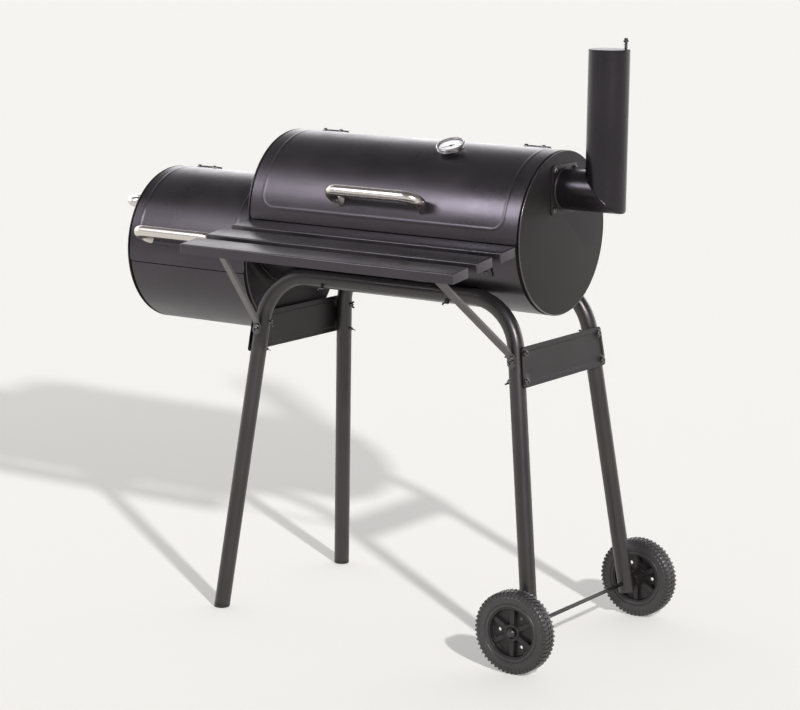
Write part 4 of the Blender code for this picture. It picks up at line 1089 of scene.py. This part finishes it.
def build_hub(name, node, matrix, body, width, inner_end):
    """A moulded wheel centre: rim, thin web, six raised spokes each side, boss and three holes."""
    rim = 0.0472
    wall, boss = 0.0032, 0.0150
    web, thin = -width / 2, 0.0018
    bore = 0.0041
    profile = rounded([
        (bore, -0.0060, 0), (0.0100, -0.0060, 0.0005), (0.0108, -0.0034, 0.0005), (boss, -0.0034, 0.0008),
        (boss + 0.0014, web + thin, 0.0010), (rim - wall - 0.0010, web + thin, 0.0012),
        (rim - wall, -0.0016, 0.0007), (rim, -0.0016, 0.0004), (rim, -width + 0.0016, 0.0004),
        (rim - wall, -width + 0.0016, 0.0007), (rim - wall - 0.0010, web - thin, 0.0012),
        (boss + 0.0014, web - thin, 0.0010), (boss, inner_end + 0.0004, 0.0006), (bore, inner_end, 0)],
        closed=True, segments=4)
    turns = [spin(radians(60 * i)) for i in range(6)]
    holes = [matrix @ Matrix.Translation(turn @ Vector((0, 0.0300, web))) for turn in turns[::2]]
    parts = [drill(lathe("hub_body", profile, matrix, 120, loop=True), holes, 0.0033, 32)]
    length = rim - wall - boss + 0.0015
    for turn in turns:
        for top in (-0.0052, -width + 0.0052):
            spot = matrix @ turn @ shift(boss + length / 2 - 0.0005, 0, (top + web) / 2)
            parts.append(block("spoke", (length, 0.0086, abs(top - web)), spot, 0.0013))
    keep(join(name, parts), body, WHEEL_PLASTIC, node)


def build_wheels():
    for place, side in (("front", 0), ("back", 1)):
        tyre, nut, body = f"wheel_tyre_{place}", f"axle_nut_{place}", f"wheel_{place}"
        outer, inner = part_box(tyre)[side].y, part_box(f"wheel_hub_{place}")[1 - side].y
        matrix = axes((AXLE.x, outer, AXLE.z), Y if side else -Y, Z)
        width = high(tyre).y - low(tyre).y
        build_tyre(f"{body}_tyre", tyre, matrix, body, (high(tyre).z - low(tyre).z) / 2, width)
        build_hub(f"{body}_centre", f"wheel_hub_{place}", matrix, body, width, -abs(outer - inner))
        tip = abs(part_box(nut)[side].y - outer)
        cap = rounded([(0.0040, -0.0036, 0), (0.0078, -0.0036, 0.0004), (0.0080, 0.0002, 0.0006),
                       (0.0060, tip * 0.55, 0.0010), (0.0052, tip, 0.0010), (0, tip, 0)], segments=3)
        parts = [lathe("cap", cap, matrix, 48)]
        place_out = shift(0.0050, 0, tip * 0.62)
        for i in range(6):
            spot = matrix @ spin(radians(60 * i)) @ place_out
            parts.append(block("tooth", (0.0050, 0.0014, 0.0012), spot, 0.0004))
        keep(join(f"{place}_axle_cap", parts), ROOT, CAP_COAT, nut)
    a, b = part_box("axle")
    shape = rounded([(0, a.y, 0), (0.0040, a.y, 0.0006), (0.0040, b.y, 0.0006), (0, b.y, 0)])
    keep(lathe("axle_rod", shape, axes((AXLE.x, 0, AXLE.z), Y, Z), 40), ROOT, AXLE_COAT, "axle")


# ---------------------------------------------------------------- shelf
def shelf_frame(node):
    """X along the slats, Z out of their tops, at the middle of a slat's top."""
    a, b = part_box(node)
    t = radians(SHELF_TILT)
    depth = (b.z - a.z - SLAT_W * sin(t)) / cos(t)
    return shift(*(a + b) / 2) @ Matrix.Rotation(t, 4, "X") @ shift(0, 0, depth / 2), depth


def build_slat(place):
    """A folded slat: an upside-down tray with rounded edges."""
    node = "shelf_slat_" + place
    matrix, depth = shelf_frame(node)
    length = high(node).x - low(node).x
    bm = bmesh.new()
    bmesh.ops.create_cube(bm, matrix=shift(0, 0, -depth / 2) @ Matrix.Diagonal((length, SLAT_W, depth, 1)))
    bottom = min(v.co.z for v in bm.verts)
    edges = [e for e in bm.edges if not all(abs(v.co.z - bottom) < 1e-6 for v in e.verts)]
    bmesh.ops.bevel(bm, geom=edges, offset=0.0026, segments=5, profile=0.5, affect="EDGES")
    faces = [f for f in bm.faces if f.normal.z < -0.9]
    bmesh.ops.delete(bm, geom=faces, context="FACES_ONLY")
    obj = to_object(f"{place}_slat", bm)
    obj.matrix_world = matrix
    mod = obj.modifiers.new("sheet", "SOLIDIFY")
    mod.thickness = 0.0012
    mod.offset = -1.0
    mod.use_even_offset = True
    keep(evaluated(obj), ROOT, SHELF_COAT, node)


def build_bracket(side):
    """A strap under the slats with its end tab on the barrel, and the screws up into the slats."""
    node = "shelf_bracket_" + side
    a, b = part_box(node)
    x, width = (a.x + b.x) / 2, b.x - a.x
    matrix, depth = shelf_frame("shelf_slat_outer")
    far = matrix @ Vector((0, -SLAT_W / 2 + 0.008, -depth - 0.0018))
    near = shelf_frame("shelf_slat_inner")[0] @ Vector((0, SLAT_W / 2 - 0.006, -depth - 0.0018))
    line = BARREL_R + 0.0022
    points = [on_barrel(x, t, line, MAIN_Z) for t in (-27, -20, -13)] + [(x, *near.yz), (x, *far.yz)]
    path = bent_path(points, 0.0030, 6)
    half, thick = width / 2, 0.0014
    section = rectangle(-half, half, -thick, thick, 0.0008, 3)
    keep(loft(f"{side}_shelf_strap", swept_rings(path, section, X)), ROOT, SHELF_COAT, node)
    screws = []
    for place in ("inner", "middle", "outer"):
        spot, deep = shelf_frame("shelf_slat_" + place)
        at = spot @ Vector((0, 0, -deep - 0.0034))
        out = -(spot.to_3x3() @ Z)
        screws.append(bolt_head("screw", axes((x, at.y, at.z), out, X), 0.0036, 0.0022, 0.0048))
    keep(join(f"{side}_shelf_screws", screws), ROOT, ZINC)
    at = on_barrel(x, -23.5, BARREL_R + 0.0036, MAIN_Z)
    tab = bolt_head("screw", axes(at, radial(-23.5), X), 0.0042, 0.0026, 0.0056)
    keep(join(f"{side}_shelf_tab_screw", [tab]), ROOT, HARDWARE)


def build_strut(side):
    """A channel strut from the leg up to the shelf strap, flattened to a tab at the leg."""
    node = "shelf_strut_" + side
    a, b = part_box(node)
    lower_z = a.z + 0.011
    out = TUBE_R + 0.0019
    x_top = centre("shelf_bracket_" + side).x

    def leg_front(z):
        p = leg_point(side, "front", z)
        return Vector((p.x, p.y - out, z))

    turn = shelf_frame("shelf_slat_outer")[0].to_3x3()
    along_shelf = turn @ Y
    top = Vector((x_top, a.y + 0.001, b.z - 0.0015))
    bend = top + along_shelf * 0.014
    start = leg_front(lower_z)
    below = leg_front(lower_z - 0.0105)
    knee = leg_front(lower_z + 0.0095)
    path = bent_path([below, start, knee, bend, top], 0.0035, 6)
    fine = []
    for p, q in zip(path, path[1:]):
        count = max(1, int((q - p).length / 0.004))
        fine += [p.lerp(q, i / count) for i in range(count)]
    fine.append(path[-1])
    run = run_lengths(fine)
    total = run[-1]
    half, thick, flange = 0.0072, 0.0018, 0.0058

    def section(i):
        grow = smooth_step((run[i] - 0.026) / 0.014) * smooth_step((total - run[i] - 0.020) / 0.012)
        lip = thick / 2 + (flange - thick) * grow
        end = max(0.0, 0.008 - run[i], 0.008 - (total - run[i]))
        wide = half + 0.0018 * (1 - smooth_step((run[i] - 0.018) / 0.010))
        wide -= 0.0075 - sqrt(max(0.0075 ** 2 - max(0.0, end - 0.0005) ** 2, 0))
        inner = wide - thick * (0.2 + 0.8 * grow)
        return [(-wide, lip), (-wide, -thick / 2), (wide, -thick / 2), (wide, lip),
                (inner, lip), (inner, thick / 2), (-inner, thick / 2), (-inner, lip)]

    strut = loft(f"{side}_strut_channel", swept_rings(fine, section, X), angle=25)
    keep(strut, ROOT, STRUT_COAT, node)
    normal = X.cross(knee - below).normalized()
    nut = leg_point(side, "front", lower_z) - normal * (TUBE_R - 0.0002)
    head = bolt_head("head", axes(start - Y * 0.0012, normal, X), 0.0062, 0.0038, 0.0078)
    back = hex_nut("nut", axes(nut, -normal, X))
    at = (x_top, top.y + along_shelf.y * 0.006, b.z - 0.0028)
    tip = bolt_head("tip", axes(at, -(turn @ Z), X), 0.0042, 0.0028, 0.0054)
    keep(join(f"{side}_strut_bolts", [head, back, tip]), ROOT, HARDWARE)


def build_shelf():
    for place in ("inner", "middle", "outer"):
        build_slat(place)
    for side in ("left", "right"):
        build_bracket(side)
        build_strut(side)


# ---------------------------------------------------------------- grates
def build_grate(name, node, rods, rod_r, stays):
    """A welded wire grate: a frame, rods from front to back and stays under them."""
    a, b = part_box(node)
    frame_r = (b.z - a.z) / 2 - 0.0001
    z, inset = (a.z + b.z) / 2, frame_r + 0.0002
    (x0, x1), (y0, y1) = ((p + inset, q - inset) for p, q in ((a.x, b.x), (a.y, b.y)))
    corners = [(x0, y0, 0.010), (x1, y0, 0.010), (x1, y1, 0.010), (x0, y1, 0.010)]
    path = [Vector((x, y, z)) for x, y in rounded(corners, closed=True, segments=8)]
    rings = []
    for i, point in enumerate(path):
        other = (path[(i + 1) % len(path)] - path[i - 1]).normalized().cross(Z)
        rings.append([point + Z * u + other * v for u, v in circle(frame_r, 16)])
    parts = [loft("frame", rings, loop=True)]
    for i in range(rods):
        x, h = x0 + (x1 - x0) * (i + 1) / (rods + 1), z + frame_r - rod_r
        parts.append(rod("rod", [(x, y0, h), (x, y1, h)], rod_r, X, 12))
    for i in range(stays):
        y, h = a.y + (b.y - a.y) * (i + 1) / (stays + 1), z - frame_r + rod_r
        parts.append(rod("stay", [(x0, y, h), (x1, y, h)], rod_r, Y, 12))
    keep(join(name, parts), ROOT, INNER_COAT, node)


def build_grates():
    build_grate("cooking_wires", "cooking_grate", 40, 0.0013, 3)
    build_grate("main_coal_wires", "main_charcoal_grate", 28, 0.0014, 2)
    build_grate("firebox_coal_wires", "firebox_charcoal_grate", 13, 0.0014, 2)


# ---------------------------------------------------------------- stage, light and camera
EYE, TARGET = (2.7245, -3.9247, 1.3823), (0.0594, 0.05725, 0.4933)
LENS_MM, ROLL = 115.63, 0.715
KEY_PLACE = Vector((3.771, -2.611, 2.886))
KEY_POWER = 32.0
KEY_SIZE = 0.10
FLOOR_WHITE = (0.905, 0.896, 0.862)
FLOOR_ALBEDO = 0.80
SKY_SHARE = 0.325
SKY_STRENGTH = 3.0
REAR_SKY = ((0.0, 0.95), (0.32, 0.90), (0.60, 0.10), (1.0, 0.04))
FRONT_SKY = ((0.0, 0.18), (0.30, 0.18), (0.62, 0.05), (1.0, 0.04))


def build_floor():
    """A wide pale floor. Its faint glow makes up for the key light's fall with distance, so that
    the sweep stays even, as a lit studio floor does."""
    bm = bmesh.new()
    bmesh.ops.create_grid(bm, x_segments=8, y_segments=8, size=45.0)
    floor = to_object("floor", bm)
    mat, tree, bsdf = new_material("floor")
    tint = [c / FLOOR_WHITE[0] for c in FLOOR_WHITE]
    place = shader(tree, "NewGeometry", "Position", {})
    distance = shader(tree, "VectorMath", "Value", {0: place, 1: KEY_PLACE}, operation="DISTANCE")
    inverse = shader(tree, "Math", 0, {0: 1.0, 1: distance}, operation="DIVIDE")
    key_share = -FLOOR_ALBEDO * KEY_POWER * KEY_PLACE.z / (4 * pi * pi)
    glow = shader(tree, "Math", 0, {0: inverse, 1: key_share, 2: FLOOR_WHITE[0] - SKY_SHARE},
                  operation="MULTIPLY_ADD")
    fill(tree, bsdf, {"Specular IOR Level": 0.0, "Roughness": 1.0, "Emission Color": (*tint, 1),
                      "Base Color": (*[c * FLOOR_ALBEDO for c in tint], 1),
                      "Emission Strength": shader(tree, "Math", 0, {0: glow, 1: 0.0}, operation="MAXIMUM")})
    floor.data.materials.append(mat)


def build_world():
    """A studio: a bright backdrop low behind the smoker, a dimmer front and a dark ceiling."""
    world = bpy.data.worlds.new("studio")
    bpy.context.scene.world = world
    world.use_nodes = True
    tree = world.node_tree
    along = shader(tree, "TexCoord", "Generated", {})
    height = shader(tree, "SeparateXYZ", "Z", {"Vector": along})

    def ramp(stops):
        node = tree.nodes.new("ShaderNodeValToRGB")
        node.color_ramp.interpolation = "EASE"
        while len(node.color_ramp.elements) < len(stops):
            node.color_ramp.elements.new(0.5)
        for element, (place, value) in zip(node.color_ramp.elements, stops):
            element.position = place
            element.color = (value, value * 0.98, value, 1)
        tree.links.new(height, node.inputs["Fac"])
        return node.outputs["Color"]

    away = (-0.556, 0.831, 0.0)
    facing = shader(tree, "VectorMath", "Value", {0: along, 1: away}, operation="DOT_PRODUCT")
    share = shader(tree, "MapRange", "Result", {"From Min": -0.10, "From Max": 0.75, "Value": facing},
                   interpolation_type="SMOOTHSTEP")
    mixed = shader(tree, "Mix", "Result", {"Factor": share, "A": ramp(FRONT_SKY), "B": ramp(REAR_SKY)},
                   data_type="RGBA")
    fill(tree, tree.nodes["Background"], {"Color": mixed, "Strength": SKY_STRENGTH})


def aimed(eye, target):
    """A matrix at eye whose -Z looks at the target."""
    eye, target = Vector(eye), Vector(target)
    return Matrix.Translation(eye) @ (target - eye).to_track_quat("-Z", "Y").to_matrix().to_4x4()


def softbox(name, eye, target, size, power, colour):
    """A wide light that is seen in gloss only."""
    light = bpy.data.lights.new(name, "AREA")
    light.shape = "RECTANGLE"
    light.size, light.size_y = size
    light.energy = power
    light.color = colour
    placed(name, light, aimed(eye, target)).visible_diffuse = False


def build_lights():
    key = bpy.data.lights.new("key", "POINT")
    key.energy = KEY_POWER
    key.shadow_soft_size = KEY_SIZE
    key.color = (1.0, 0.985, 0.97)
    key.specular_factor = 0.75
    key.use_nodes = True
    level = shader(key.node_tree, "LightFalloff", "Constant", {"Strength": 1.0})
    fill(key.node_tree, key.node_tree.nodes["Emission"], {"Strength": level})
    placed("key", key, Matrix.Translation(KEY_PLACE))
    softbox("softbox", (-1.094, -2.20, 2.18), (0.156, 0.0, 0.80), (1.2, 0.8), 35.0, (1.0, 0.98, 1.06))
    softbox("side_softbox", (-2.294, -1.75, 2.30), (-0.394, -0.10, 0.70), (1.5, 1.5), 9.0, (1.0, 0.97, 1.02))


def build_camera():
    camera = bpy.data.cameras.new("camera")
    camera.sensor_width = 36.0
    camera.lens = LENS_MM
    camera.clip_end = 200.0
    bpy.context.scene.camera = placed("camera", camera, aimed(EYE, TARGET) @ spin(radians(ROLL)))


def main():
    bpy.context.scene.view_settings.view_transform = "Standard"
    for build in (build_camera, build_world, build_lights, build_floor, build_barrels, build_vent,
                  build_handles, build_hinges, build_thermometer, build_chimney, build_damper,
                  build_stand, build_wheels, build_shelf, build_grates):
        build()


main()
